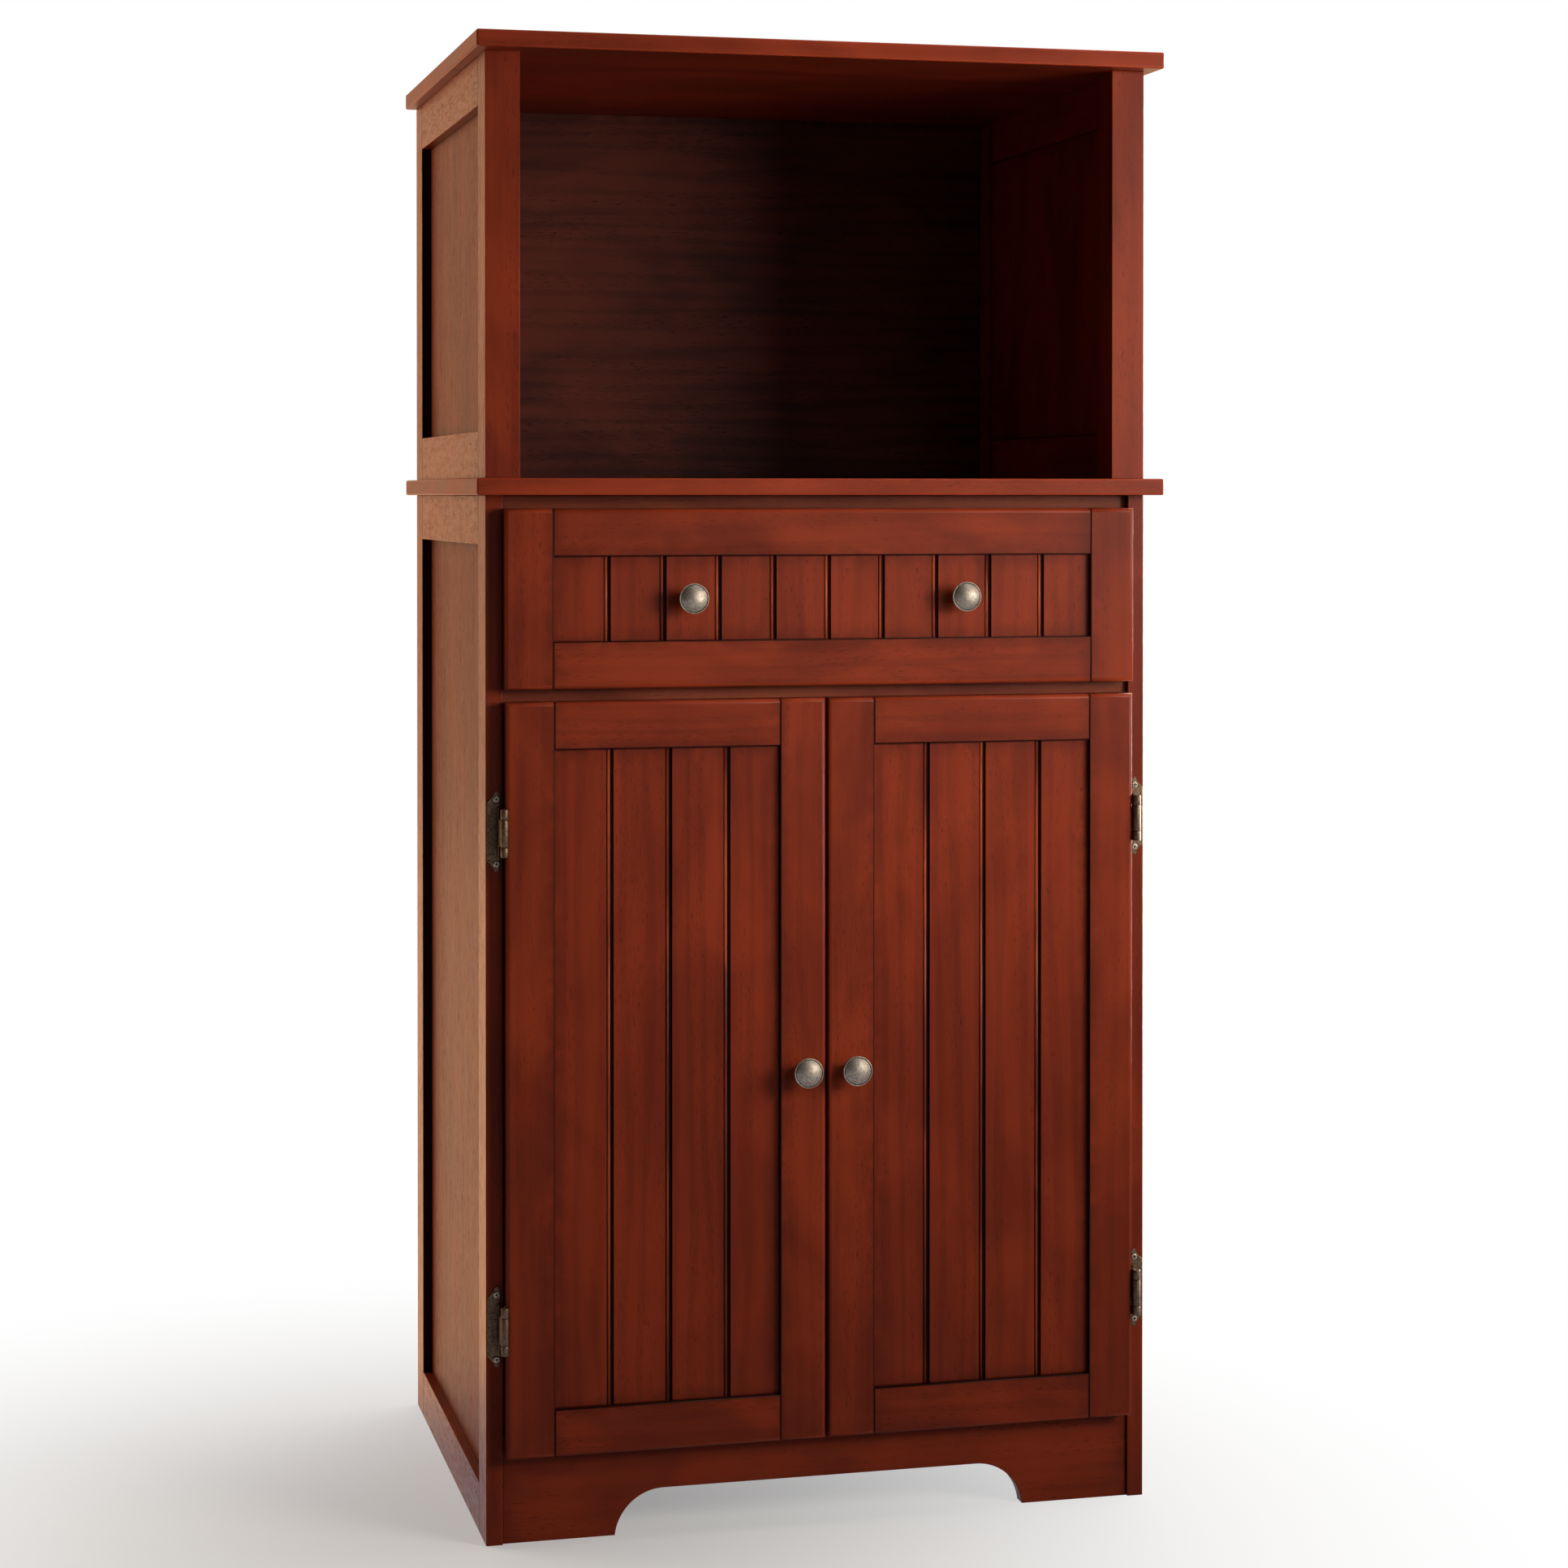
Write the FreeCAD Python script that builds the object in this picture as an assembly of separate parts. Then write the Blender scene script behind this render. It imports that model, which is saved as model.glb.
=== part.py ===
import FreeCAD, Part

# Kitchen cart: a cabinet with one drawer and two beaded doors, and an open hutch on top of it.
#
# Every piece is a separate solid in millimetres. X runs to the right and Y to the back, so the
# doors face -Y, and Z runs up from the floor. The origin is on the floor, below the middle of
# the overall box. Two helpers carry the two references that the pieces share:
#   left(inset)  is the X of a plane that lies INSET inside the left outer face of the sides,
#   depth(back)  is the Y of a plane that lies BACK behind the front edges of the sides.

import os
from math import cos, pi, sin

from FreeCAD import Vector

# ---------------------------------------------------------------- carcass and boards
BODY_WIDTH = 613.0              # across the outer faces of the side frames
BODY_DEPTH = 459.0              # front edge to back edge of the side frames
BASE_HEIGHT = 927.0             # floor to the underside of the worktop
HUTCH_HEIGHT = 376.0            # worktop to the underside of the top board
BOARD_THICKNESS = 15.0          # worktop and top board
BOARD_SIDE_OVERHANG = 11.0
BOARD_FRONT_OVERHANG = 25.0
BOARD_EDGE_RADIUS = 1.8
EASED_EDGE = 1.0                # rounding of the sides' front edges
JOINT_VEE = 0.5                 # depth of the fine V along every stile and rail joint

# ---------------------------------------------------------------- side frames
SIDE_THICKNESS = 15.0
SIDE_STILE_WIDTH = 42.0
POST_WIDTH = 31.0               # front stiles of the hutch, seen from the front
BASE_SIDE_RAIL = 44.0
HUTCH_TOP_RAIL = 44.0
HUTCH_BOTTOM_RAIL = 42.0
SIDE_PANEL_THICKNESS = 6.0
SIDE_PANEL_LAP = 8.0            # how far the panel reaches into the rebate around it
TENON_THICKNESS = 5.0
TENON_LENGTH = 18.0
TENON_SHOULDER = 8.0            # from the tenon to the rail's long edges
TENON_INSET = 3.0               # from the tenon to the outer face
FIT_CLEARANCE = 0.1             # around tenons, tongues and the panels in grooves

# ---------------------------------------------------------------- rails, floor, backs, shelf
RAIL_THICKNESS = 15.0
TOP_RAIL_HEIGHT = 25.0
TOP_RAIL_RECESS = 8.0           # behind the front edges of the sides
MID_RAIL_HEIGHT = 32.0
MID_RAIL_RECESS = 5.5
APRON_HEIGHT = 95.0
APRON_RECESS = 3.0
FOOT_WIDTH = 101.0              # outer face of the side to the inner corner of the foot
ARCH_HEIGHT = 39.5
ARCH_RADIUS = 44.5
FLOOR_THICKNESS = 15.0
BACK_THICKNESS = 4.0
BACK_LAP = 7.5                  # rebate in the rear stiles that takes the back panels
CORD_HOLE_RADIUS = 25.0
CORD_HOLE_HEIGHT = 90.0         # above the worktop
CORD_HOLE_INSET = 66.5          # left outer face to the middle of the hole
SHELF_THICKNESS = 15.0
SHELF_SIDE_GAP = 1.5
SHELF_SETBACK = 12.0            # behind the front edges of the sides
SHELF_UNDERSIDE = 400.0         # above the floor
CLEAT_WIDTH = 15.0              # battens on the sides that carry the shelf
CLEAT_HEIGHT = 20.0
CLEAT_SETBACK = 10.0            # behind the front edge of the shelf

# ---------------------------------------------------------------- drawer front and doors
FRONT_THICKNESS = 18.0
FRONT_EDGE_RADIUS = 4.0
FRAME_WIDTH = 42.0              # stiles and rails of the doors and the drawer front
PANEL_RECESS = 5.5              # face of the frame to the face of the beaded panel
PANEL_THICKNESS = 7.0
PANEL_TONGUE = 8.0
FRAME_GROOVE_DEPTH = 9.0
DOOR_BOTTOM = 79.5              # above the floor
DOOR_SIDE_GAP = 1.5             # inner face of the side to the edge of the door
DOOR_MEETING_GAP = 3.0
DOOR_TO_DRAWER_GAP = 10.8
DRAWER_FRONT_HEIGHT = 159.2
DRAWER_FRONT_TOP_GAP = 11.8     # drawer front to the underside of the worktop
DRAWER_FRONT_SIDE_GAP = 0.5
DOOR_PLANKS = 4
DOOR_PLANK_PITCH = 53.05
DRAWER_PLANKS = 10
DRAWER_PLANK_PITCH = 50.3
BEAD_WIDTH = 2.4
QUIRK_WIDTH = 0.9
QUIRK_DEPTH = 0.9
BEAD_EDGE_DEPTH = 0.45          # how far the sides of the bead fall away
GROOVE_WIDTH = 3.1
GROOVE_DEPTH = 3.0
GROOVE_SLOPE = 0.25             # lean of each wall of the groove

# ---------------------------------------------------------------- drawer box
BOX_HEIGHT = 110.0
BOX_LENGTH = 400.0
BOX_WALL = 12.0
BOX_SIDE_GAP = 6.0              # side frame to the drawer's side
BOX_BOTTOM_THICKNESS = 4.0
BOX_BOTTOM_LIFT = 8.0           # under the bottom panel
BOX_BOTTOM_LAP = 6.0            # how far the bottom panel reaches into the grooves around it
RUNNER_HEIGHT = 13.0
RUNNER_GROOVE_DEPTH = 7.0
RUNNER_REAR_GAP = 1.0           # end of the runner to the back panel
RUNNING_GAP = 0.3               # between the runner and its groove
RUNNER_FACE_GAP = 0.6           # edge of the runner to the bottom of its groove

# ---------------------------------------------------------------- knobs and screws
KNOB_RADIUS = 13.5
KNOB_LENGTH = 26.0
KNOB_NECK_RADIUS = 6.0
KNOB_RIM_THICKNESS = 2.2
KNOB_CAP_RADIUS = 12.0          # foot of the cap, inside the rim
KNOB_CROWN_RADIUS = 6.5         # flat top of the cap
KNOB_CAP_HEIGHT = 4.0
KNOB_PLANK_FROM_END = 3         # the drawer's knobs stand on the third plank from each end
KNOB_SCREW_RADIUS = 2.0
KNOB_SCREW_ENGAGEMENT = 12.0
KNOB_SCREW_HEAD_RADIUS = 4.0
KNOB_SCREW_HEAD_HEIGHT = 2.4
SCREW_HOLE_CLEARANCE = 0.3
WOOD_SCREW_RADIUS = 1.6
WOOD_SCREW_LENGTH = 14.0
WOOD_SCREW_HEAD_RADIUS = 3.0
WOOD_SCREW_HEAD_HEIGHT = 1.7
SHANK_SIDES = 6                 # screws are faceted bars, as wide across their corners
HEAD_SIDES = 12

# ---------------------------------------------------------------- hinges, two on each door
HINGE_FROM_DOOR_END = 114.3     # end of the door to the middle of the hinge
DOOR_EDGE_TO_AXIS = 2.9         # the pin stands this far outside the door's edge
FACE_TO_AXIS = 2.4              # and this far in front of the door's face
KNUCKLE_RADIUS = 3.5
BARREL_LENGTH = 42.0
MIDDLE_KNUCKLE = 24.0
KNUCKLE_GAP = 0.3
HINGE_PIN_RADIUS = 1.5
HINGE_PIN_CLEARANCE = 0.05      # in the door's knuckles; the frame's knuckle holds the pin
FRAME_LEAF_THICKNESS = 1.5
FRAME_LEAF_MARGIN = 0.9         # leaf to the outer face of the side
FRAME_LEAF_SHOULDER = 28.0      # straight length of the leaf, above and below its middle
LEAF_SHOULDER_RISE = 4.0        # slope from the strap to the neck around a screw
LEAF_NECK_MARGIN = 0.5          # screw's head to the edge of the neck
LEAF_TIP_WIDTH = 3.0
LEAF_TIP_REACH = 35.7           # middle of the hinge to the end of the tip
LEAF_FLANGE_RISE = 4.0          # full-length foot of the strap
HINGE_SCREW_SPACING = 57.15
HINGE_SCREW_FROM_AXIS = 4.4
DOOR_LEAF_THICKNESS = 1.2
DOOR_LEAF_REACH = 25.0          # across the back of the door
DOOR_LEAF_CORNER = 3.0
DOOR_LEAF_EDGE_DEPTH = 12.0     # full-height part of the leaf on the door's edge
DOOR_LEAF_SCREW_INSET = 14.0    # edge of the door to the screws
DOOR_LEAF_SCREW_SPACING = 26.0

# ---------------------------------------------------------------- catch
CATCH_WIDTH = 70.0
CATCH_HEIGHT = 14.0
CATCH_DEPTH = 13.0
CATCH_GAP = 0.3                 # magnets to the strike
POLE_SPACING = 40.0             # middle of one magnet to the middle of the other
POLE_WIDTH = 18.0
POLE_THICKNESS = 1.5
POLE_PITCH = 7.0
POLE_RISE = 1.0
STRIKE_WIDTH = 26.0
STRIKE_HEIGHT = 14.0
STRIKE_THICKNESS = 1.2

# ---------------------------------------------------------------- worked out from the above
PLANE_TOLERANCE = 1e-6
HALF_WIDTH = BODY_WIDTH / 2
FRONT_REACH = max(FRONT_THICKNESS + KNOB_LENGTH, BOARD_FRONT_OVERHANG)
FRONT_Y = (FRONT_REACH - BODY_DEPTH) / 2
WORKTOP_TOP = BASE_HEIGHT + BOARD_THICKNESS
HUTCH_TOP = WORKTOP_TOP + HUTCH_HEIGHT
DRAWER_FRONT_TOP = BASE_HEIGHT - DRAWER_FRONT_TOP_GAP
DRAWER_FRONT_BOTTOM = DRAWER_FRONT_TOP - DRAWER_FRONT_HEIGHT
DOOR_TOP = DRAWER_FRONT_BOTTOM - DOOR_TO_DRAWER_GAP
DOOR_EDGE_INSET = SIDE_THICKNESS + DOOR_SIDE_GAP
HINGE_INSET = DOOR_EDGE_INSET - DOOR_EDGE_TO_AXIS
STRAP_INSET = HINGE_INSET - KNUCKLE_RADIUS
HINGE_DEPTH = -(FRONT_THICKNESS + FACE_TO_AXIS)
HINGE_HEIGHTS = (DOOR_TOP - HINGE_FROM_DOOR_END, DOOR_BOTTOM + HINGE_FROM_DOOR_END)
MID_RAIL_BOTTOM = (DOOR_TOP + DRAWER_FRONT_BOTTOM - MID_RAIL_HEIGHT) / 2
MID_RAIL_TOP = MID_RAIL_BOTTOM + MID_RAIL_HEIGHT
TOP_RAIL_BOTTOM = BASE_HEIGHT - TOP_RAIL_HEIGHT
BOX_BOTTOM = (MID_RAIL_TOP + TOP_RAIL_BOTTOM - BOX_HEIGHT) / 2
RUNNER_MIDDLE = BOX_BOTTOM + BOX_HEIGHT / 2
BOX_OUTER_INSET = SIDE_THICKNESS + BOX_SIDE_GAP
BOX_INNER_INSET = BOX_OUTER_INSET + BOX_WALL
PANEL_FACE_DEPTH = PANEL_RECESS - FRONT_THICKNESS
GROOVE_START = PANEL_FACE_DEPTH - FIT_CLEARANCE
GROOVE_END = PANEL_FACE_DEPTH + PANEL_THICKNESS + FIT_CLEARANCE

CATCH_FACE = STRIKE_THICKNESS + CATCH_GAP + POLE_RISE
CATCH_MIDDLE = MID_RAIL_BOTTOM - CATCH_HEIGHT / 2


# ---------------------------------------------------------------- helpers
def left(inset):
    """X of the plane INSET inside the left outer face."""
    return inset - HALF_WIDTH


def depth(back):
    """Y of the plane BACK behind the front edges of the sides."""
    return FRONT_Y + back


def box(x, y, z):
    """Box between three pairs of planes."""
    return Part.makeBox(x[1] - x[0], y[1] - y[0], z[1] - z[0], Vector(x[0], y[0], z[0]))


def rod(radius, start, run):
    """Cylinder that starts at a point and runs along a vector."""
    return Part.makeCylinder(radius, run.Length, start, run)


def faceted_bar(radius, sides, start, length):
    """Bar with flat sides along Y from a point, in place of a small turned one."""
    turns = [2 * pi * side / sides for side in range(sides)]
    corners = [start + Vector(radius * cos(turn), 0, radius * sin(turn)) for turn in turns]
    return Part.Face(Part.makePolygon(corners + corners[:1])).extrude(Vector(0, length, 0))


def path(points):
    """Straight edges from each point to the next."""
    return [Part.LineSegment(start, end).toShape() for start, end in zip(points, points[1:])]


def mirrored(shape):
    """The same piece on the other side of the cart."""
    return shape.mirror(Vector(0, 0, 0), Vector(1, 0, 0))


def cut_all(shape, cutters):
    """Cut every cutter from a shape."""
    for cutter in cutters:
        shape = shape.cut(cutter)
    return shape


def rounded(shape, radius, chosen):
    """Round the edges whose bounding box passes the test."""
    return shape.makeFillet(radius, [edge for edge in shape.Edges if chosen(edge.BoundBox)])


def same(first, second):
    """Whether two coordinates lie in the same plane."""
    return abs(first - second) < PLANE_TOLERANCE


def vee_line(start, run):
    """Square bar on edge, which cuts a fine V along a joint line."""
    across = [Vector(1, 0, 0), Vector(0, 1, 0), Vector(0, 0, 1)]
    first, second = [axis * JOINT_VEE for axis in across if same(axis.dot(run), 0)]
    corners = [start + first, start + second, start - first, start - second]
    return Part.Face(Part.makePolygon(corners + corners[:1])).extrude(run)


# ---------------------------------------------------------------- boards
def board(underside):
    """Worktop or top board: flush at the back, with its long arrises rounded on three sides."""
    reach = HALF_WIDTH + BOARD_SIDE_OVERHANG
    slab = box((-reach, reach), (depth(-BOARD_FRONT_OVERHANG), depth(BODY_DEPTH)),
               (underside, underside + BOARD_THICKNESS))
    return rounded(slab, BOARD_EDGE_RADIUS,
                   lambda b: same(b.ZLength, 0) and not same(b.YMin, depth(BODY_DEPTH)))


# ---------------------------------------------------------------- side frames
def side_rail_tenons(low, high, gap):
    """Both tenons of a side rail with no gap, or the mortises that leave a gap around them."""
    reach = TENON_LENGTH + gap
    return box((left(TENON_INSET - gap), left(TENON_INSET + TENON_THICKNESS + gap)),
               (depth(SIDE_STILE_WIDTH - reach), depth(BODY_DEPTH - SIDE_STILE_WIDTH + reach)),
               (low + TENON_SHOULDER - gap, high - TENON_SHOULDER + gap))


def side_joint_lines(low, high):
    """The two upright V lines where the rails meet the stiles on the outer face."""
    return [vee_line(Vector(left(0), depth(back), low), Vector(0, 0, high - low))
            for back in (SIDE_STILE_WIDTH, BODY_DEPTH - SIDE_STILE_WIDTH)]


def side_rail(low, high, panel_edge):
    """Rail of a side frame, with its tenons; PANEL_EDGE is the height of its rebated edge."""
    rail = box((left(0), left(SIDE_THICKNESS)),
               (depth(SIDE_STILE_WIDTH), depth(BODY_DEPTH - SIDE_STILE_WIDTH)), (low, high))
    rail = rail.fuse(side_rail_tenons(low, high, 0)).removeSplitter()
    inward = SIDE_PANEL_LAP if same(panel_edge, low) else -SIDE_PANEL_LAP
    rebate = box((left(SIDE_THICKNESS - SIDE_PANEL_THICKNESS), left(SIDE_THICKNESS)),
                 (depth(SIDE_STILE_WIDTH), depth(BODY_DEPTH - SIDE_STILE_WIDTH)),
                 sorted((panel_edge, panel_edge + inward)))
    edge_line = vee_line(Vector(left(0), depth(SIDE_STILE_WIDTH), panel_edge),
                         Vector(0, BODY_DEPTH - 2 * SIDE_STILE_WIDTH, 0))
    return cut_all(rail, [rebate, edge_line] + side_joint_lines(low, high))


def side_frame(low, high, front_width, bottom_rail, top_rail):
    """Left side frame between two heights: front stile, rear stile, two rails and the panel."""
    opening = (low + bottom_rail, high - top_rail)
    panel_x = (left(SIDE_THICKNESS - SIDE_PANEL_THICKNESS), left(SIDE_THICKNESS))
    panel = box(panel_x,
                (depth(SIDE_STILE_WIDTH - SIDE_PANEL_LAP),
                 depth(BODY_DEPTH - SIDE_STILE_WIDTH + SIDE_PANEL_LAP)),
                (opening[0] - SIDE_PANEL_LAP, opening[1] + SIDE_PANEL_LAP))
    cuts = [panel, side_rail_tenons(low, opening[0], FIT_CLEARANCE),
            side_rail_tenons(opening[1], high, FIT_CLEARANCE)] + side_joint_lines(low, high)
    front = box((left(0), left(front_width)), (depth(0), depth(SIDE_STILE_WIDTH)), (low, high))
    front = rounded(front, EASED_EDGE, lambda b: same(b.YMax, depth(0)) and same(b.XLength, 0))
    rear = box((left(0), left(SIDE_THICKNESS)),
               (depth(BODY_DEPTH - SIDE_STILE_WIDTH), depth(BODY_DEPTH)), (low, high))
    return {
        "front_stile": [cut_all(front, cuts)],
        "rear_stile": [cut_all(rear, cuts + [back_sheet(low, high)])],
        "rails": [side_rail(low, opening[0], opening[0]), side_rail(opening[1], high, opening[1])],
        "panel": [panel],
    }


def shelf_cleat():
    """Left batten under the shelf, fixed to both stiles."""
    return box((left(SIDE_THICKNESS), left(SIDE_THICKNESS + CLEAT_WIDTH)),
               (depth(SHELF_SETBACK + CLEAT_SETBACK), depth(BODY_DEPTH - BACK_THICKNESS)),
               (SHELF_UNDERSIDE - CLEAT_HEIGHT, SHELF_UNDERSIDE))


# ---------------------------------------------------------------- rails, apron, panels
def cross_rail(low, high, recess):
    """Rail between the two sides."""
    return box((left(SIDE_THICKNESS), -left(SIDE_THICKNESS)),
               (depth(recess), depth(recess + RAIL_THICKNESS)), (low, high))


def arch(recess):
    """Space between the two feet: a flat crown with a round in each corner."""
    centre_height = ARCH_HEIGHT - ARCH_RADIUS
    spread = (ARCH_RADIUS ** 2 - centre_height ** 2) ** 0.5
    centre = left(FOOT_WIDTH) + spread
    crown = box((centre, -centre), (depth(recess), depth(recess + RAIL_THICKNESS)),
                (min(0, centre_height), ARCH_HEIGHT))
    rounds = [rod(ARCH_RADIUS, Vector(side * centre, depth(recess), centre_height),
                  Vector(0, RAIL_THICKNESS, 0)) for side in (-1, 1)]
    return crown.fuse(rounds)


def apron():
    """Bottom rail with two bracket feet and the flat arch between them."""
    return cross_rail(0, APRON_HEIGHT, APRON_RECESS).cut(arch(APRON_RECESS))


def cabinet_floor():
    """Floor of the cabinet, behind the apron and level with its top."""
    return box((left(SIDE_THICKNESS), -left(SIDE_THICKNESS)),
               (depth(APRON_RECESS + RAIL_THICKNESS), depth(BODY_DEPTH - BACK_THICKNESS)),
               (APRON_HEIGHT - FLOOR_THICKNESS, APRON_HEIGHT))


def back_sheet(low, high):
    """Back panel, set into the rebates of the rear stiles."""
    reach = -left(SIDE_THICKNESS - BACK_LAP)
    return box((-reach, reach), (depth(BODY_DEPTH - BACK_THICKNESS), depth(BODY_DEPTH)), (low, high))


def hutch_back():
    """Back panel of the hutch, with a hole for a power cord near its left edge."""
    centre = Vector(left(CORD_HOLE_INSET), depth(BODY_DEPTH), WORKTOP_TOP + CORD_HOLE_HEIGHT)
    hole = rod(CORD_HOLE_RADIUS, centre, Vector(0, -BACK_THICKNESS, 0))
    return back_sheet(WORKTOP_TOP, HUTCH_TOP).cut(hole)


def shelf():
    """Loose shelf on its two battens."""
    reach = -left(SIDE_THICKNESS + SHELF_SIDE_GAP)
    return box((-reach, reach), (depth(SHELF_SETBACK), depth(BODY_DEPTH - BACK_THICKNESS)),
               (SHELF_UNDERSIDE, SHELF_UNDERSIDE + SHELF_THICKNESS))


# ---------------------------------------------------------------- framed fronts
def bead_and_groove(middle, face):
    """Edges across a quirk, the bead centred on MIDDLE and the groove to its right, and the ends."""
    bead = middle - BEAD_WIDTH / 2
    groove = middle + BEAD_WIDTH / 2
    end = groove + GROOVE_WIDTH
    shoulder, bottom = face + BEAD_EDGE_DEPTH, face + GROOVE_DEPTH
    quirk = [Vector(bead - QUIRK_WIDTH, face, 0), Vector(bead - QUIRK_WIDTH / 2, face + QUIRK_DEPTH, 0),
             Vector(bead, shoulder, 0)]
    walls = [Vector(groove, shoulder, 0), Vector(groove + GROOVE_SLOPE, bottom, 0),
             Vector(end - GROOVE_SLOPE, bottom, 0), Vector(end, face, 0)]
    crown = Part.Arc(quirk[-1], Vector(middle, face, 0), walls[0]).toShape()
    return path(quirk) + [crown] + path(walls), quirk[0], walls[-1]


def beaded_panel(x, z, planks, pitch):
    """Panel with planks marked by upright beads and grooves; x and z are its outer planes."""
    face = depth(PANEL_FACE_DEPTH)
    back = face + PANEL_THICKNESS
    middle = (x[0] + x[1]) / 2
    pen = Vector(x[0], face, 0)
    edges = []
    for number in range(1, planks):
        profile, start, end = bead_and_groove(middle + (number - planks / 2) * pitch, face)
        edges += path([pen, start]) + profile
        pen = end
    edges += path([pen, Vector(x[1], face, 0), Vector(x[1], back, 0), Vector(x[0], back, 0),
                   Vector(x[0], face, 0)])
    panel = Part.Face(Part.Wire(edges)).extrude(Vector(0, 0, z[1] - z[0]))
    panel.translate(Vector(0, 0, z[0]))
    return panel


def front_slab(x, z):
    """Blank of a door or drawer front, with the rounded edge around its face."""
    face = depth(-FRONT_THICKNESS)
    return rounded(box(x, (face, depth(0)), z), FRONT_EDGE_RADIUS, lambda b: same(b.YMax, face))


def groove_edge(outline, joint):
    """Bottom of the groove that a frame piece has along its joint with the panel."""
    return joint + (FRAME_GROOVE_DEPTH if same(joint, outline[0]) else -FRAME_GROOVE_DEPTH)


def front_stile(slab, outline, joint, z):
    """Stile between the X planes OUTLINE, grooved along its joint with the panel."""
    stile = slab.common(box(outline, (depth(-FRONT_THICKNESS), depth(0)), z))
    groove_x = sorted((joint, groove_edge(outline, joint)))
    return stile.cut(box(groove_x, (depth(GROOVE_START), depth(GROOVE_END)), z))


def front_rail(slab, x, outline, joint):
    """Rail between the Z planes OUTLINE, grooved for the panel, with a tongue at each end."""
    edge = groove_edge(outline, joint)
    solid_z = (edge, outline[1]) if same(joint, outline[0]) else (outline[0], edge)
    rail = slab.common(box(x, (depth(-FRONT_THICKNESS), depth(0)), outline))
    rail = rail.cut(box(x, (depth(GROOVE_START), depth(GROOVE_END)), sorted((joint, edge))))
    tongues = box((x[0] - PANEL_TONGUE, x[1] + PANEL_TONGUE),
                  (depth(GROOVE_START + FIT_CLEARANCE), depth(GROOVE_END - FIT_CLEARANCE)), solid_z)
    line_start = Vector(x[0], depth(-FRONT_THICKNESS), joint)
    return rail.fuse(tongues).removeSplitter().cut(vee_line(line_start, Vector(x[1] - x[0], 0, 0)))


def framed_front(x, z, planks, pitch):
    """Door or drawer front between outer planes: two stiles, two rails and the beaded panel."""
    inner_x = (x[0] + FRAME_WIDTH, x[1] - FRAME_WIDTH)
    inner_z = (z[0] + FRAME_WIDTH, z[1] - FRAME_WIDTH)
    slab = front_slab(x, z)
    lines = [vee_line(Vector(plane, depth(-FRONT_THICKNESS), z[0]), Vector(0, 0, z[1] - z[0]))
             for plane in inner_x]
    frame = {
        "left_stile": front_stile(slab, (x[0], inner_x[0]), inner_x[0], z),
        "right_stile": front_stile(slab, (inner_x[1], x[1]), inner_x[1], z),
        "bottom_rail": front_rail(slab, inner_x, (z[0], inner_z[0]), inner_z[0]),
        "top_rail": front_rail(slab, inner_x, (inner_z[1], z[1]), inner_z[1]),
    }
    pieces = {name: cut_all(piece, lines) for name, piece in frame.items()}
    pieces["panel"] = beaded_panel((inner_x[0] - PANEL_TONGUE, inner_x[1] + PANEL_TONGUE),
                                   (inner_z[0] - PANEL_TONGUE, inner_z[1] + PANEL_TONGUE),
                                   planks, pitch)
    return pieces


# ---------------------------------------------------------------- drawer box
def box_bottom(gap):
    """Bottom panel of the drawer box with no gap, or the groove that leaves a gap around it."""
    lap = BOX_BOTTOM_LAP + gap
    low = BOX_BOTTOM + BOX_BOTTOM_LIFT
    reach = -left(BOX_INNER_INSET - lap)
    return box((-reach, reach), (depth(BOX_WALL - lap), depth(BOX_LENGTH - BOX_WALL + lap)),
               (low - gap, low + BOX_BOTTOM_THICKNESS + gap))


def runner():
    """Left runner, fixed to the side frame."""
    reach = BOX_OUTER_INSET + RUNNER_GROOVE_DEPTH - RUNNER_FACE_GAP
    strip = box((left(SIDE_THICKNESS), left(reach)),
                (depth(BOX_WALL + RUNNING_GAP), depth(BODY_DEPTH - BACK_THICKNESS - RUNNER_REAR_GAP)),
                (RUNNER_MIDDLE - RUNNER_HEIGHT / 2, RUNNER_MIDDLE + RUNNER_HEIGHT / 2))
    return rounded(strip, EASED_EDGE, lambda b: same(b.XMin, left(reach)) and same(b.ZLength, 0))


def box_side():
    """Left side of the drawer box, grooved for its runner and its bottom."""
    side = box((left(BOX_OUTER_INSET), left(BOX_INNER_INSET)), (depth(0), depth(BOX_LENGTH)),
               (BOX_BOTTOM, BOX_BOTTOM + BOX_HEIGHT))
    half = RUNNER_HEIGHT / 2 + RUNNING_GAP
    runner_groove = box((left(BOX_OUTER_INSET), left(BOX_OUTER_INSET + RUNNER_GROOVE_DEPTH)),
                        (depth(BOX_WALL), depth(BOX_LENGTH)),
                        (RUNNER_MIDDLE - half, RUNNER_MIDDLE + half))
    return cut_all(side, [runner_groove, box_bottom(FIT_CLEARANCE)])


def box_end(front):
    """Front or back of the drawer box, between its sides, FRONT behind their front ends."""
    end = box((left(BOX_INNER_INSET), -left(BOX_INNER_INSET)), (depth(front), depth(front + BOX_WALL)),
              (BOX_BOTTOM, BOX_BOTTOM + BOX_HEIGHT))
    return end.cut(box_bottom(FIT_CLEARANCE))


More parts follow.
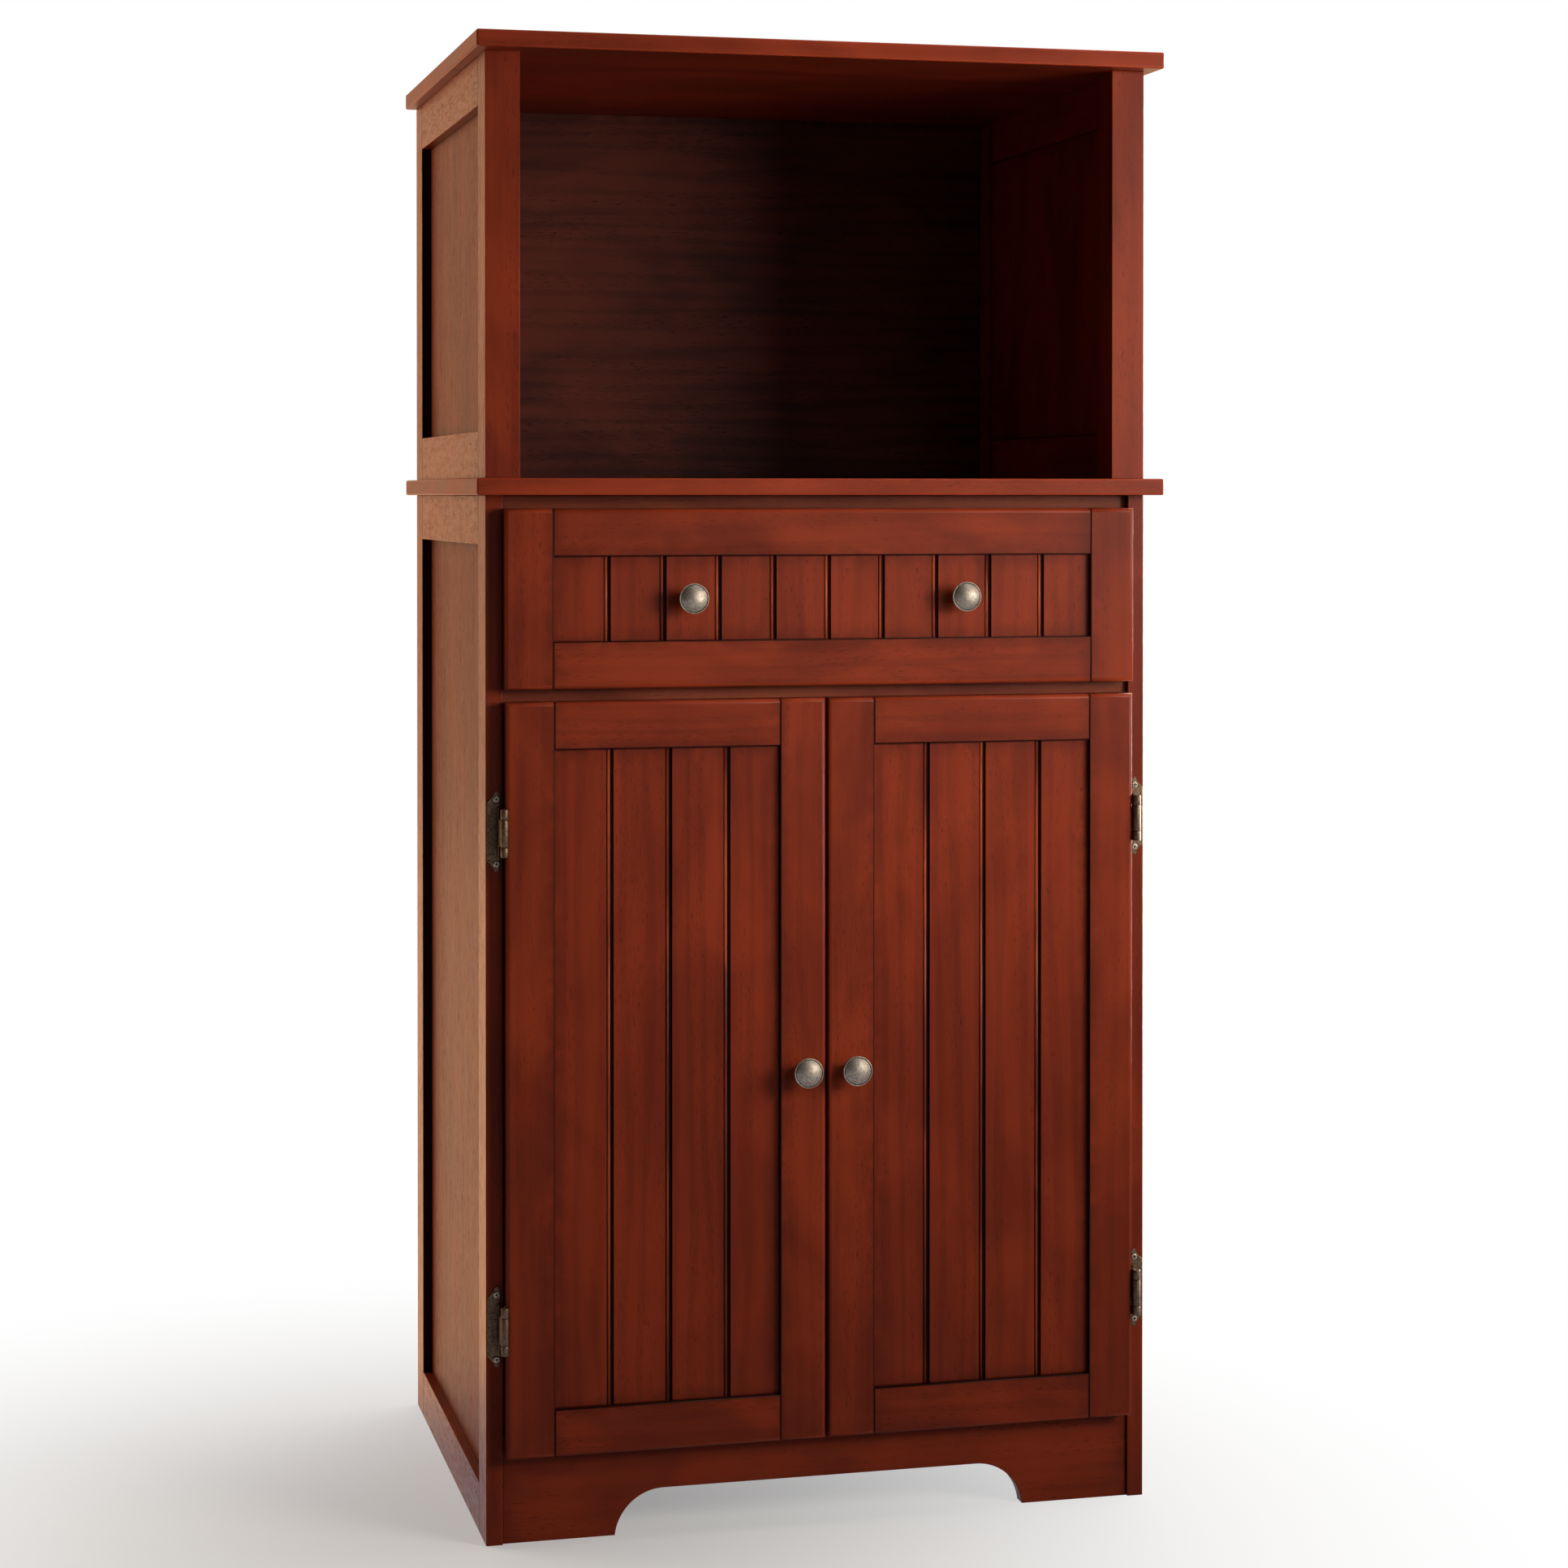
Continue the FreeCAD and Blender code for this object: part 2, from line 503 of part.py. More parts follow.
# ---------------------------------------------------------------- knobs
def knob(foot):
    """Round knob that stands on a face at FOOT: neck, rim, step and tapered cap."""
    rim_back = KNOB_LENGTH - KNOB_CAP_HEIGHT - KNOB_RIM_THICKNESS
    rim_front = KNOB_LENGTH - KNOB_CAP_HEIGHT
    profile = [(0, 0), (KNOB_NECK_RADIUS, 0), (KNOB_NECK_RADIUS, rim_back),
               (KNOB_RADIUS, rim_back), (KNOB_RADIUS, rim_front), (KNOB_CAP_RADIUS, rim_front),
               (KNOB_CROWN_RADIUS, KNOB_LENGTH), (0, KNOB_LENGTH), (0, 0)]
    edges = path([Vector(radius, -height, 0) for radius, height in profile])
    body = Part.Face(Part.Wire(edges)).revolve(Vector(0, 0, 0), Vector(0, 1, 0), 360)
    body.translate(foot)
    return body.cut(faceted_bar(KNOB_SCREW_RADIUS, SHANK_SIDES, foot, -KNOB_SCREW_ENGAGEMENT))


def knob_screw(foot, seat):
    """Screw from behind: its head sits on the plane depth(SEAT) and its end is in the knob."""
    start = Vector(foot.x, depth(seat), foot.z)
    length = foot.y - KNOB_SCREW_ENGAGEMENT - start.y
    shank = faceted_bar(KNOB_SCREW_RADIUS, SHANK_SIDES, start, length)
    return shank.fuse(faceted_bar(KNOB_SCREW_HEAD_RADIUS, HEAD_SIDES, start, KNOB_SCREW_HEAD_HEIGHT))


def knob_hole(foot):
    """Clearance hole for a knob's screw through everything behind the knob."""
    return faceted_bar(KNOB_SCREW_RADIUS + SCREW_HOLE_CLEARANCE, SHANK_SIDES, foot,
                       FRONT_THICKNESS + BOX_WALL)


# ---------------------------------------------------------------- hinges
def hinge_knuckle(middle, low, high):
    """Round knuckle of a hinge between two distances from the hinge's middle."""
    return rod(KNUCKLE_RADIUS, Vector(left(HINGE_INSET), depth(HINGE_DEPTH), middle + low),
               Vector(0, 0, high - low))


def hinge_bore(middle, low, high, radius):
    """Bore of a knuckle between the same distances."""
    return rod(radius, Vector(left(HINGE_INSET), depth(HINGE_DEPTH), middle + low),
               Vector(0, 0, high - low))


def hinge_pin(middle):
    """Pin through the three knuckles of a hinge."""
    return hinge_bore(middle, -BARREL_LENGTH / 2, BARREL_LENGTH / 2, HINGE_PIN_RADIUS)


def leaf_end(middle, side):
    """Corners of one end of the frame leaf: shoulder, neck for the screw and blunt tip."""
    outer = left(FRAME_LEAF_MARGIN)
    strap = left(STRAP_INSET + FRAME_LEAF_THICKNESS)
    screw = left(HINGE_INSET - HINGE_SCREW_FROM_AXIS)
    neck = screw + WOOD_SCREW_HEAD_RADIUS + LEAF_NECK_MARGIN
    spot = lambda x, height: Vector(x, depth(-FRAME_LEAF_THICKNESS), middle + side * height)
    return [spot(strap, BARREL_LENGTH / 2), spot(neck, BARREL_LENGTH / 2 + LEAF_SHOULDER_RISE),
            spot(neck, LEAF_TIP_REACH - LEAF_SHOULDER_RISE), spot(screw + LEAF_TIP_WIDTH / 2, LEAF_TIP_REACH),
            spot(screw - LEAF_TIP_WIDTH / 2, LEAF_TIP_REACH), spot(outer, FRAME_LEAF_SHOULDER)]


def frame_leaf(middle):
    """Leaf screwed to the side's front edge, with its strap and the middle knuckle."""
    outline = leaf_end(middle, 1) + leaf_end(middle, -1)[::-1]
    plate = Part.Face(Part.makePolygon(outline + outline[:1])).extrude(Vector(0, FRAME_LEAF_THICKNESS, 0))
    strap_x = (left(STRAP_INSET), left(STRAP_INSET + FRAME_LEAF_THICKNESS))
    flange = box(strap_x, (depth(-FRAME_LEAF_THICKNESS - LEAF_FLANGE_RISE), depth(-FRAME_LEAF_THICKNESS)),
                 (middle - BARREL_LENGTH / 2, middle + BARREL_LENGTH / 2))
    half = MIDDLE_KNUCKLE / 2
    strap = box(strap_x, (depth(HINGE_DEPTH), depth(-FRAME_LEAF_THICKNESS)), (middle - half, middle + half))
    leaf = plate.fuse([flange, strap, hinge_knuckle(middle, -half, half)]).removeSplitter()
    return cut_all(leaf, [hinge_bore(middle, -half, half, HINGE_PIN_RADIUS)] + frame_screw_holes(middle))


def frame_screw_points(middle):
    """Where the two screws of a frame leaf meet the leaf's face."""
    across = left(HINGE_INSET - HINGE_SCREW_FROM_AXIS)
    return [Vector(across, depth(-FRAME_LEAF_THICKNESS), middle + side * HINGE_SCREW_SPACING / 2)
            for side in (1, -1)]


def frame_screw_holes(middle):
    """Holes of a frame leaf's screws, in the leaf and in the side."""
    return [screw_shank(point, 1) for point in frame_screw_points(middle)]


def door_leaf(middle):
    """Leaf that wraps round the door's edge to its back, with the two end knuckles."""
    half = BARREL_LENGTH / 2
    gap = MIDDLE_KNUCKLE / 2 + KNUCKLE_GAP
    whole = (middle - half, middle + half)
    edge_x = (left(DOOR_EDGE_INSET - DOOR_LEAF_THICKNESS), left(DOOR_EDGE_INSET))
    leaf = box((edge_x[0], left(DOOR_EDGE_INSET + DOOR_LEAF_REACH)), (depth(0), depth(DOOR_LEAF_THICKNESS)),
               whole)
    leaf = rounded(leaf, DOOR_LEAF_CORNER, lambda b: same(b.XLength + b.ZLength, 0)
                   and not same(b.XMin, edge_x[0]))
    pieces = [box(edge_x, (depth(-DOOR_LEAF_EDGE_DEPTH), depth(0)), whole)]
    for low, high in ((gap, half), (-half, -gap)):
        pieces.append(box(edge_x, (depth(HINGE_DEPTH), depth(-DOOR_LEAF_EDGE_DEPTH)),
                          (middle + low, middle + high)))
        pieces.append(hinge_knuckle(middle, low, high))
    bore = hinge_bore(middle, -half, half, HINGE_PIN_RADIUS + HINGE_PIN_CLEARANCE)
    return cut_all(leaf.fuse(pieces).removeSplitter(), [bore] + door_screw_holes(middle))


def door_screw_points(middle):
    """Where the two screws of a door leaf meet the leaf's face, behind the door."""
    across = left(DOOR_EDGE_INSET + DOOR_LEAF_SCREW_INSET)
    return [Vector(across, depth(DOOR_LEAF_THICKNESS), middle + side * DOOR_LEAF_SCREW_SPACING / 2)
            for side in (1, -1)]


def door_screw_holes(middle):
    """Holes of a door leaf's screws, in the leaf and in the door."""
    return [screw_shank(point, -1) for point in door_screw_points(middle)]


def screw_shank(point, inward):
    """Shank of a wood screw; INWARD is +1 or -1 along Y into the wood."""
    return faceted_bar(WOOD_SCREW_RADIUS, SHANK_SIDES, point, inward * WOOD_SCREW_LENGTH)


def wood_screw(point, inward):
    """Pan-head wood screw with its head on a leaf's face at POINT."""
    head = faceted_bar(WOOD_SCREW_HEAD_RADIUS, HEAD_SIDES, point, -inward * WOOD_SCREW_HEAD_HEIGHT)
    return screw_shank(point, inward).fuse(head)


# ---------------------------------------------------------------- catch
def door_catch():
    """Double magnetic catch under the mid rail: a housing with two pairs of pole plates."""
    body = box((-CATCH_WIDTH / 2, CATCH_WIDTH / 2), (depth(CATCH_FACE), depth(CATCH_FACE + CATCH_DEPTH)),
               (MID_RAIL_BOTTOM - CATCH_HEIGHT, MID_RAIL_BOTTOM))
    poles = []
    for across in (-POLE_SPACING / 2, POLE_SPACING / 2):
        for low in (CATCH_MIDDLE - POLE_PITCH / 2, CATCH_MIDDLE + POLE_PITCH / 2):
            poles.append(box((across - POLE_WIDTH / 2, across + POLE_WIDTH / 2),
                             (depth(CATCH_FACE - POLE_RISE), depth(CATCH_FACE)),
                             (low - POLE_THICKNESS / 2, low + POLE_THICKNESS / 2)))
    return body.fuse(poles)


def strike_plate(across):
    """Steel plate on the back of a door, opposite one magnet."""
    return box((across - STRIKE_WIDTH / 2, across + STRIKE_WIDTH / 2), (depth(0), depth(STRIKE_THICKNESS)),
               (CATCH_MIDDLE - STRIKE_HEIGHT / 2, CATCH_MIDDLE + STRIKE_HEIGHT / 2))


# ---------------------------------------------------------------- sub-assemblies
def carcass():
    """Boards, rails, panels, shelf and catch, which stay still with the side frames."""
    return {
        "top_board": [board(HUTCH_TOP)],
        "worktop": [board(BASE_HEIGHT)],
        "hutch_back_panel": [hutch_back()],
        "base_back_panel": [back_sheet(APRON_HEIGHT - FLOOR_THICKNESS, BASE_HEIGHT)],
        "top_rail": [cross_rail(TOP_RAIL_BOTTOM, BASE_HEIGHT, TOP_RAIL_RECESS)],
        "mid_rail": [cross_rail(MID_RAIL_BOTTOM, MID_RAIL_TOP, MID_RAIL_RECESS)],
        "apron": [apron()],
        "cabinet_floor": [cabinet_floor()],
        "shelf": [shelf()],
        "shelf_cleats": [shelf_cleat(), mirrored(shelf_cleat())],
        "drawer_runners": [runner(), mirrored(runner())],
        "door_catch": [door_catch()],
    }


def side_frames():
    """The four side frames, the lower ones drilled for the hinge screws."""
    hutch = side_frame(WORKTOP_TOP, HUTCH_TOP, POST_WIDTH, HUTCH_BOTTOM_RAIL, HUTCH_TOP_RAIL)
    base = side_frame(0, BASE_HEIGHT, SIDE_THICKNESS, BASE_SIDE_RAIL, BASE_SIDE_RAIL)
    holes = [hole for middle in HINGE_HEIGHTS for hole in frame_screw_holes(middle)]
    base["front_stile"] = [cut_all(base["front_stile"][0], holes)]
    nodes = {}
    for unit, frame in (("hutch", hutch), ("base", base)):
        for name, solids in frame.items():
            nodes[f"{unit}_left_{name}"] = solids
            nodes[f"{unit}_right_{name}"] = [mirrored(solid) for solid in solids]
    return nodes


def carcass_hinges():
    """The halves of the hinges that stay on the sides, with their pins and screws."""
    leaves = [frame_leaf(middle) for middle in HINGE_HEIGHTS]
    pins = [hinge_pin(middle) for middle in HINGE_HEIGHTS]
    screws = [wood_screw(point, 1) for middle in HINGE_HEIGHTS for point in frame_screw_points(middle)]
    return {
        "left_hinge_frame_leaves": leaves,
        "right_hinge_frame_leaves": [mirrored(leaf) for leaf in leaves],
        "hinge_pins": pins + [mirrored(pin) for pin in pins],
        "frame_leaf_screws": screws + [mirrored(screw) for screw in screws],
    }


def drawer():
    """Drawer front, box, knobs and their screws."""
    reach = -left(SIDE_THICKNESS + DRAWER_FRONT_SIDE_GAP)
    front = framed_front((-reach, reach), (DRAWER_FRONT_BOTTOM, DRAWER_FRONT_TOP),
                         DRAWER_PLANKS, DRAWER_PLANK_PITCH)
    height = (DRAWER_FRONT_BOTTOM + DRAWER_FRONT_TOP) / 2
    across = ((DRAWER_PLANKS + 1) / 2 - KNOB_PLANK_FROM_END) * DRAWER_PLANK_PITCH
    feet = [Vector(side * across, depth(PANEL_FACE_DEPTH), height) for side in (-1, 1)]
    holes = [knob_hole(foot) for foot in feet]
    return {
        "drawer_front_left_stile": [front["left_stile"]],
        "drawer_front_right_stile": [front["right_stile"]],
        "drawer_front_rails": [front["bottom_rail"], front["top_rail"]],
        "drawer_front_panel": [cut_all(front["panel"], holes)],
        "drawer_box_sides": [box_side(), mirrored(box_side())],
        "drawer_box_front": [cut_all(box_end(0), holes)],
        "drawer_box_back": [box_end(BOX_LENGTH - BOX_WALL)],
        "drawer_bottom": [box_bottom(0)],
        "drawer_knobs": [knob(foot) for foot in feet],
        "drawer_knob_screws": [knob_screw(foot, BOX_WALL) for foot in feet],
    }


def door(side):
    """One door, with its half of the hinges, its knob and its strike; SIDE is left or right."""
    is_left = side == "left"
    near, far = DOOR_MEETING_GAP / 2, -left(DOOR_EDGE_INSET)
    x = (-far, -near) if is_left else (near, far)
    place = (lambda shape: shape) if is_left else mirrored
    sign = -1 if is_left else 1
    front = framed_front(x, (DOOR_BOTTOM, DOOR_TOP), DOOR_PLANKS, DOOR_PLANK_PITCH)
    hinge_stile = front["left_stile" if is_left else "right_stile"]
    meeting_stile = front["right_stile" if is_left else "left_stile"]
    leaves, screws, holes = [], [], []
    for middle in HINGE_HEIGHTS:
        leaves.append(place(door_leaf(middle)))
        screws += [place(wood_screw(point, -1)) for point in door_screw_points(middle)]
        holes += [place(hole) for hole in door_screw_holes(middle)]
    foot = Vector(sign * (near + FRAME_WIDTH / 2), depth(-FRONT_THICKNESS), (DOOR_BOTTOM + DOOR_TOP) / 2)
    return {
        f"{side}_door_hinge_stile": [cut_all(hinge_stile, holes)],
        f"{side}_door_meeting_stile": [meeting_stile.cut(knob_hole(foot))],
        f"{side}_door_rails": [front["bottom_rail"], front["top_rail"]],
        f"{side}_door_panel": [front["panel"]],
        f"{side}_door_hinge_leaves": leaves,
        f"{side}_door_leaf_screws": screws,
        f"{side}_door_knob": [knob(foot)],
        f"{side}_door_knob_screw": [knob_screw(foot, 0)],
        f"{side}_door_strike_plate": [strike_plate(sign * POLE_SPACING / 2)],
    }


def main():
    """Build every piece and write one file for each node."""
    nodes = {**carcass(), **side_frames(), **carcass_hinges(), **drawer(), **door("left"), **door("right")}
    os.makedirs("parts", exist_ok=True)
    for name, solids in nodes.items():
        shape = solids[0] if len(solids) == 1 else Part.makeCompound(solids)
        shape.exportStep(f"parts/{name}.step")
    print(len(nodes), "nodes")


main()
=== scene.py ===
"""Looks of a tall wooden kitchen cart with an open hutch, a drawer and two doors.

Boards, fronts, knobs and hinges are modelled around the fixed frame, and every
piece rides on the body that carries it. All sizes are in metres.
"""
import logging
import math
import random
from dataclasses import dataclass, field
from enum import Enum
from typing import Callable, Iterable, Sequence

import bmesh
import bpy
from mathutils import Matrix, Vector


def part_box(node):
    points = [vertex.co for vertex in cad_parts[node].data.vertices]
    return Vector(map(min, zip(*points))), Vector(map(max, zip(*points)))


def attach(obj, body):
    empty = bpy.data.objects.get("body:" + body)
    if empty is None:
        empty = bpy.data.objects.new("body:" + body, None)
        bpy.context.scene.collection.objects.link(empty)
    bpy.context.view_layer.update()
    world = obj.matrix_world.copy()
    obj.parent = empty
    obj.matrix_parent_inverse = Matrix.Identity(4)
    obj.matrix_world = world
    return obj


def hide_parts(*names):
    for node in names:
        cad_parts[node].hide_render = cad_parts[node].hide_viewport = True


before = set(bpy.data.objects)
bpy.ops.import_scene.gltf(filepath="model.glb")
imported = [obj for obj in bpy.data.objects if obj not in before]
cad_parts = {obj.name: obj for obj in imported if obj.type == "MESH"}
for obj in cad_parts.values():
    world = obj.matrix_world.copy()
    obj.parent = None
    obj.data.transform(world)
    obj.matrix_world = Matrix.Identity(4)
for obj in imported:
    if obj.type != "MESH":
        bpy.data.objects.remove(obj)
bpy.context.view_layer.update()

log = logging.getLogger("cart")

MM = 0.001
GRAIN_LAYER = "grain_at"
BOARD_LAYER = "board_at"
HALF_LAYER = "board_half"
# Share by which eased edges are lightened: worn stain and painted highlight.
WEAR_HIGHLIGHT_LAYER = "rub"
FAR_AWAY = 1.0
TOUCH = 1e-5
DOUBLE = 1e-6
WHITE = (1.0, 1.0, 1.0)

Colour = tuple[float, float, float]
Place = tuple[float, float, float]
Verts = list[bmesh.types.BMVert]
EdgeTest = Callable[[Vector, Vector], bool]


def linear(part: int) -> float:
    """Turn one part of a display colour, from 0 to 255, into its linear share."""
    share = part / 255
    return share / 12.92 if share <= 0.04045 else ((share + 0.055) / 1.055) ** 2.4


def tone(red: int, green: int, blue: int) -> Colour:
    """Turn a display colour into the linear colour that a shader takes."""
    return linear(red), linear(green), linear(blue)


def tinted(colour: Colour, share: float) -> Colour:
    """Scale a colour, and keep it within the range of paint."""
    return tuple(min(1.0, part * share) for part in colour)


class Body(Enum):
    """The bodies that pieces ride on."""

    CARCASS = "root"
    DRAWER = "drawer"
    LEFT_DOOR = "left_door"
    RIGHT_DOOR = "right_door"


class Slot(Enum):
    """The finishes that the part's record names."""

    STAINED_WOOD = "stained_wood"
    BACK_PANELS = "back_panels"
    INNER_WOOD = "inner_wood"
    KNOBS = "knobs"
    HINGES = "hinges"
    HINGE_SCREWS = "hinge_screws"
    STEEL = "steel"
    CATCH = "catch"


class Grain(Enum):
    """Which way the fibres of a board run."""

    UPRIGHT = "upright"
    ACROSS = "across"
    DEEP = "deep"


class Hand(Enum):
    """Left or right side of the cart, as a sign along X."""

    LEFT = -1
    RIGHT = 1

    @property
    def side(self) -> str:
        """The side's name."""
        return self.name.lower()

    @property
    def door(self) -> Body:
        """The door on this side."""
        return Body.LEFT_DOOR if self is Hand.LEFT else Body.RIGHT_DOOR


# ---------------------------------------------------------------- shader wiring
class Wiring:
    """Adds nodes to a node tree and links them."""

    def __init__(self, tree: bpy.types.NodeTree) -> None:
        """Keep the tree that nodes are added to."""
        self.tree = tree

    def add(self, kind: str, **settings: object) -> bpy.types.Node:
        """Add a node.

        Args:
            kind: The node's type name.
            **settings: Properties of the node.

        Returns:
            The new node.
        """
        node = self.tree.nodes.new(kind)
        for name, value in settings.items():
            setattr(node, name, value)
        return node

    def feed(self, socket: bpy.types.NodeSocket, source: object) -> None:
        """Link a socket to another node's socket, or give it a plain value.

        Args:
            socket: The socket that is fed.
            source: Another node's socket, a number, a vector or a colour.
        """
        if isinstance(source, bpy.types.NodeSocket):
            self.tree.links.new(source, socket)
        elif isinstance(source, tuple) and socket.type == "RGBA":
            socket.default_value = (*source, 1.0)
        else:
            socket.default_value = source

    def math(self, operation: str, first: object, second: object = 0.0,
             clamp: bool = False) -> bpy.types.NodeSocket:
        """Work out one number from two.

        Args:
            operation: What is worked out.
            first: A number or a socket.
            second: A number or a socket.
            clamp: Whether the result is held between 0 and 1.

        Returns:
            The socket with the result.
        """
        node = self.add("ShaderNodeMath", operation=operation, use_clamp=clamp)
        self.feed(node.inputs[0], first)
        self.feed(node.inputs[1], second)
        return node.outputs[0]

    def plus(self, first: object, second: object, clamp: bool = False) -> bpy.types.NodeSocket:
        """Add two numbers."""
        return self.math("ADD", first, second, clamp)

    def minus(self, first: object, second: object) -> bpy.types.NodeSocket:
        """Take the second number from the first."""
        return self.math("SUBTRACT", first, second)

    def times(self, first: object, second: object) -> bpy.types.NodeSocket:
        """Multiply two numbers."""
        return self.math("MULTIPLY", first, second)

    def vector(self, operation: str, first: object,
               second: object = (0, 0, 0)) -> bpy.types.NodeSocket:
        """Work out one vector from two.

        Args:
            operation: What is worked out.
            first: A vector or a socket.
            second: A vector or a socket.

        Returns:
            The socket with the result.
        """
        node = self.add("ShaderNodeVectorMath", operation=operation)
        self.feed(node.inputs[0], first)
        self.feed(node.inputs[1], second)
        return node.outputs[0]

    def stretch(self, at: object, shares: Place) -> bpy.types.NodeSocket:
        """Stretch a place along each axis."""
        return self.vector("MULTIPLY", at, shares)

    def split(self, vector: object) -> bpy.types.NodeOutputs:
        """Take a vector apart.

        Args:
            vector: A vector or a socket.

        Returns:
            The outputs for X, Y and Z.
        """
        node = self.add("ShaderNodeSeparateXYZ")
        self.feed(node.inputs[0], vector)
        return node.outputs

    def mix(self, share: object, first: object, second: object) -> bpy.types.NodeSocket:
        """Mix two colours.

        Args:
            share: How much of the second colour there is.
            first: A colour or a socket.
            second: A colour or a socket.

        Returns:
            The socket with the mixed colour.
        """
        node = self.add("ShaderNodeMix", data_type="RGBA", blend_type="MIX")
        self.feed(node.inputs[0], share)
        self.feed(node.inputs[6], first)
        self.feed(node.inputs[7], second)
        return node.outputs[2]

    def span(self, value: object, low: float, high: object, to_low: float = 0.0,
             to_high: float = 1.0) -> bpy.types.NodeSocket:
        """Move a value smoothly from one range into another, and hold it there.

        Args:
            value: The value.
            low: Where its range starts.
            high: Where its range ends.
            to_low: What the start becomes.
            to_high: What the end becomes.

        Returns:
            The socket with the result.
        """
        node = self.add("ShaderNodeMapRange", interpolation_type="SMOOTHSTEP")
        for socket, source in zip(node.inputs, (value, low, high, to_low, to_high)):
            self.feed(socket, source)
        return node.outputs[0]

    def noise(self, at: object, scale: object, detail: float = 2.0, rough: float = 0.5,
              distortion: float = 0.0) -> bpy.types.NodeSocket:
        """Read a noise value at a place.

        Args:
            at: The place.
            scale: How small the noise is.
            detail: Number of finer layers.
            rough: How strong the finer layers are.
            distortion: How far the noise is bent.

        Returns:
            The socket with the value.
        """
        node = self.add("ShaderNodeTexNoise")
        sources = {"Vector": at, "Scale": scale, "Detail": detail, "Roughness": rough,
                   "Distortion": distortion}
        for name, source in sources.items():
            self.feed(node.inputs[name], source)
        return node.outputs[0]

    def attribute(self, layer: str, output: str = "Vector") -> bpy.types.NodeSocket:
        """Read what a layer of the mesh holds."""
        return self.add("ShaderNodeAttribute", attribute_name=layer).outputs[output]

    def relief(self, shader: bpy.types.Node, height: object, strength: float,
               distance: float) -> None:
        """Give a shader a fine relief.

        Args:
            shader: The shader.
            height: The socket with the relief's height.
            strength: How strong the relief is.
            distance: How high it is, in metres.
        """
        bump = self.add("ShaderNodeBump")
        bump.inputs["Strength"].default_value = strength
        bump.inputs["Distance"].default_value = distance
        self.feed(bump.inputs["Height"], height)
        self.feed(shader.inputs["Normal"], bump.outputs["Normal"])


class Effect:
    """A shader group that several finishes share, built once."""

    NAME = "effect"
    TAKES: tuple[tuple[str, str, object], ...] = ()
    GIVES: tuple[tuple[str, str], ...] = ()

    def __init__(self) -> None:
        """Build the group."""
        self.tree = bpy.data.node_groups.new(self.NAME, "ShaderNodeTree")
        for name, kind, value in self.TAKES:
            socket = self.tree.interface.new_socket(name, in_out="INPUT", socket_type=kind)
            if value is not None:
                socket.default_value = (*value, 1.0) if kind == "NodeSocketColor" else value
        for name, kind in self.GIVES:
            self.tree.interface.new_socket(name, in_out="OUTPUT", socket_type=kind)
        wiring = Wiring(self.tree)
        takes = wiring.add("NodeGroupInput")
        gives = wiring.add("NodeGroupOutput")
        for name, source in self.wire(wiring, takes.outputs).items():
            wiring.feed(gives.inputs[name], source)

    def wire(self, wiring: Wiring, takes: bpy.types.NodeOutputs) -> dict[str, object]:
        """Wire the group.

        Args:
            wiring: The group's wiring.
            takes: The sockets that the group takes.

        Returns:
            The source of each output, by its name.
        """
        raise NotImplementedError

    def place(self, wiring: Wiring, **sources: object) -> bpy.types.NodeOutputs:
        """Place the group in a material.

        Args:
            wiring: The material's wiring.
            **sources: A value or socket for each input, with _ for a space.

        Returns:
            The group's outputs.
        """
        node = wiring.add("ShaderNodeGroup", node_tree=self.tree)
        for name, source in sources.items():
            wiring.feed(node.inputs[name.replace("_", " ")], source)
        return node.outputs


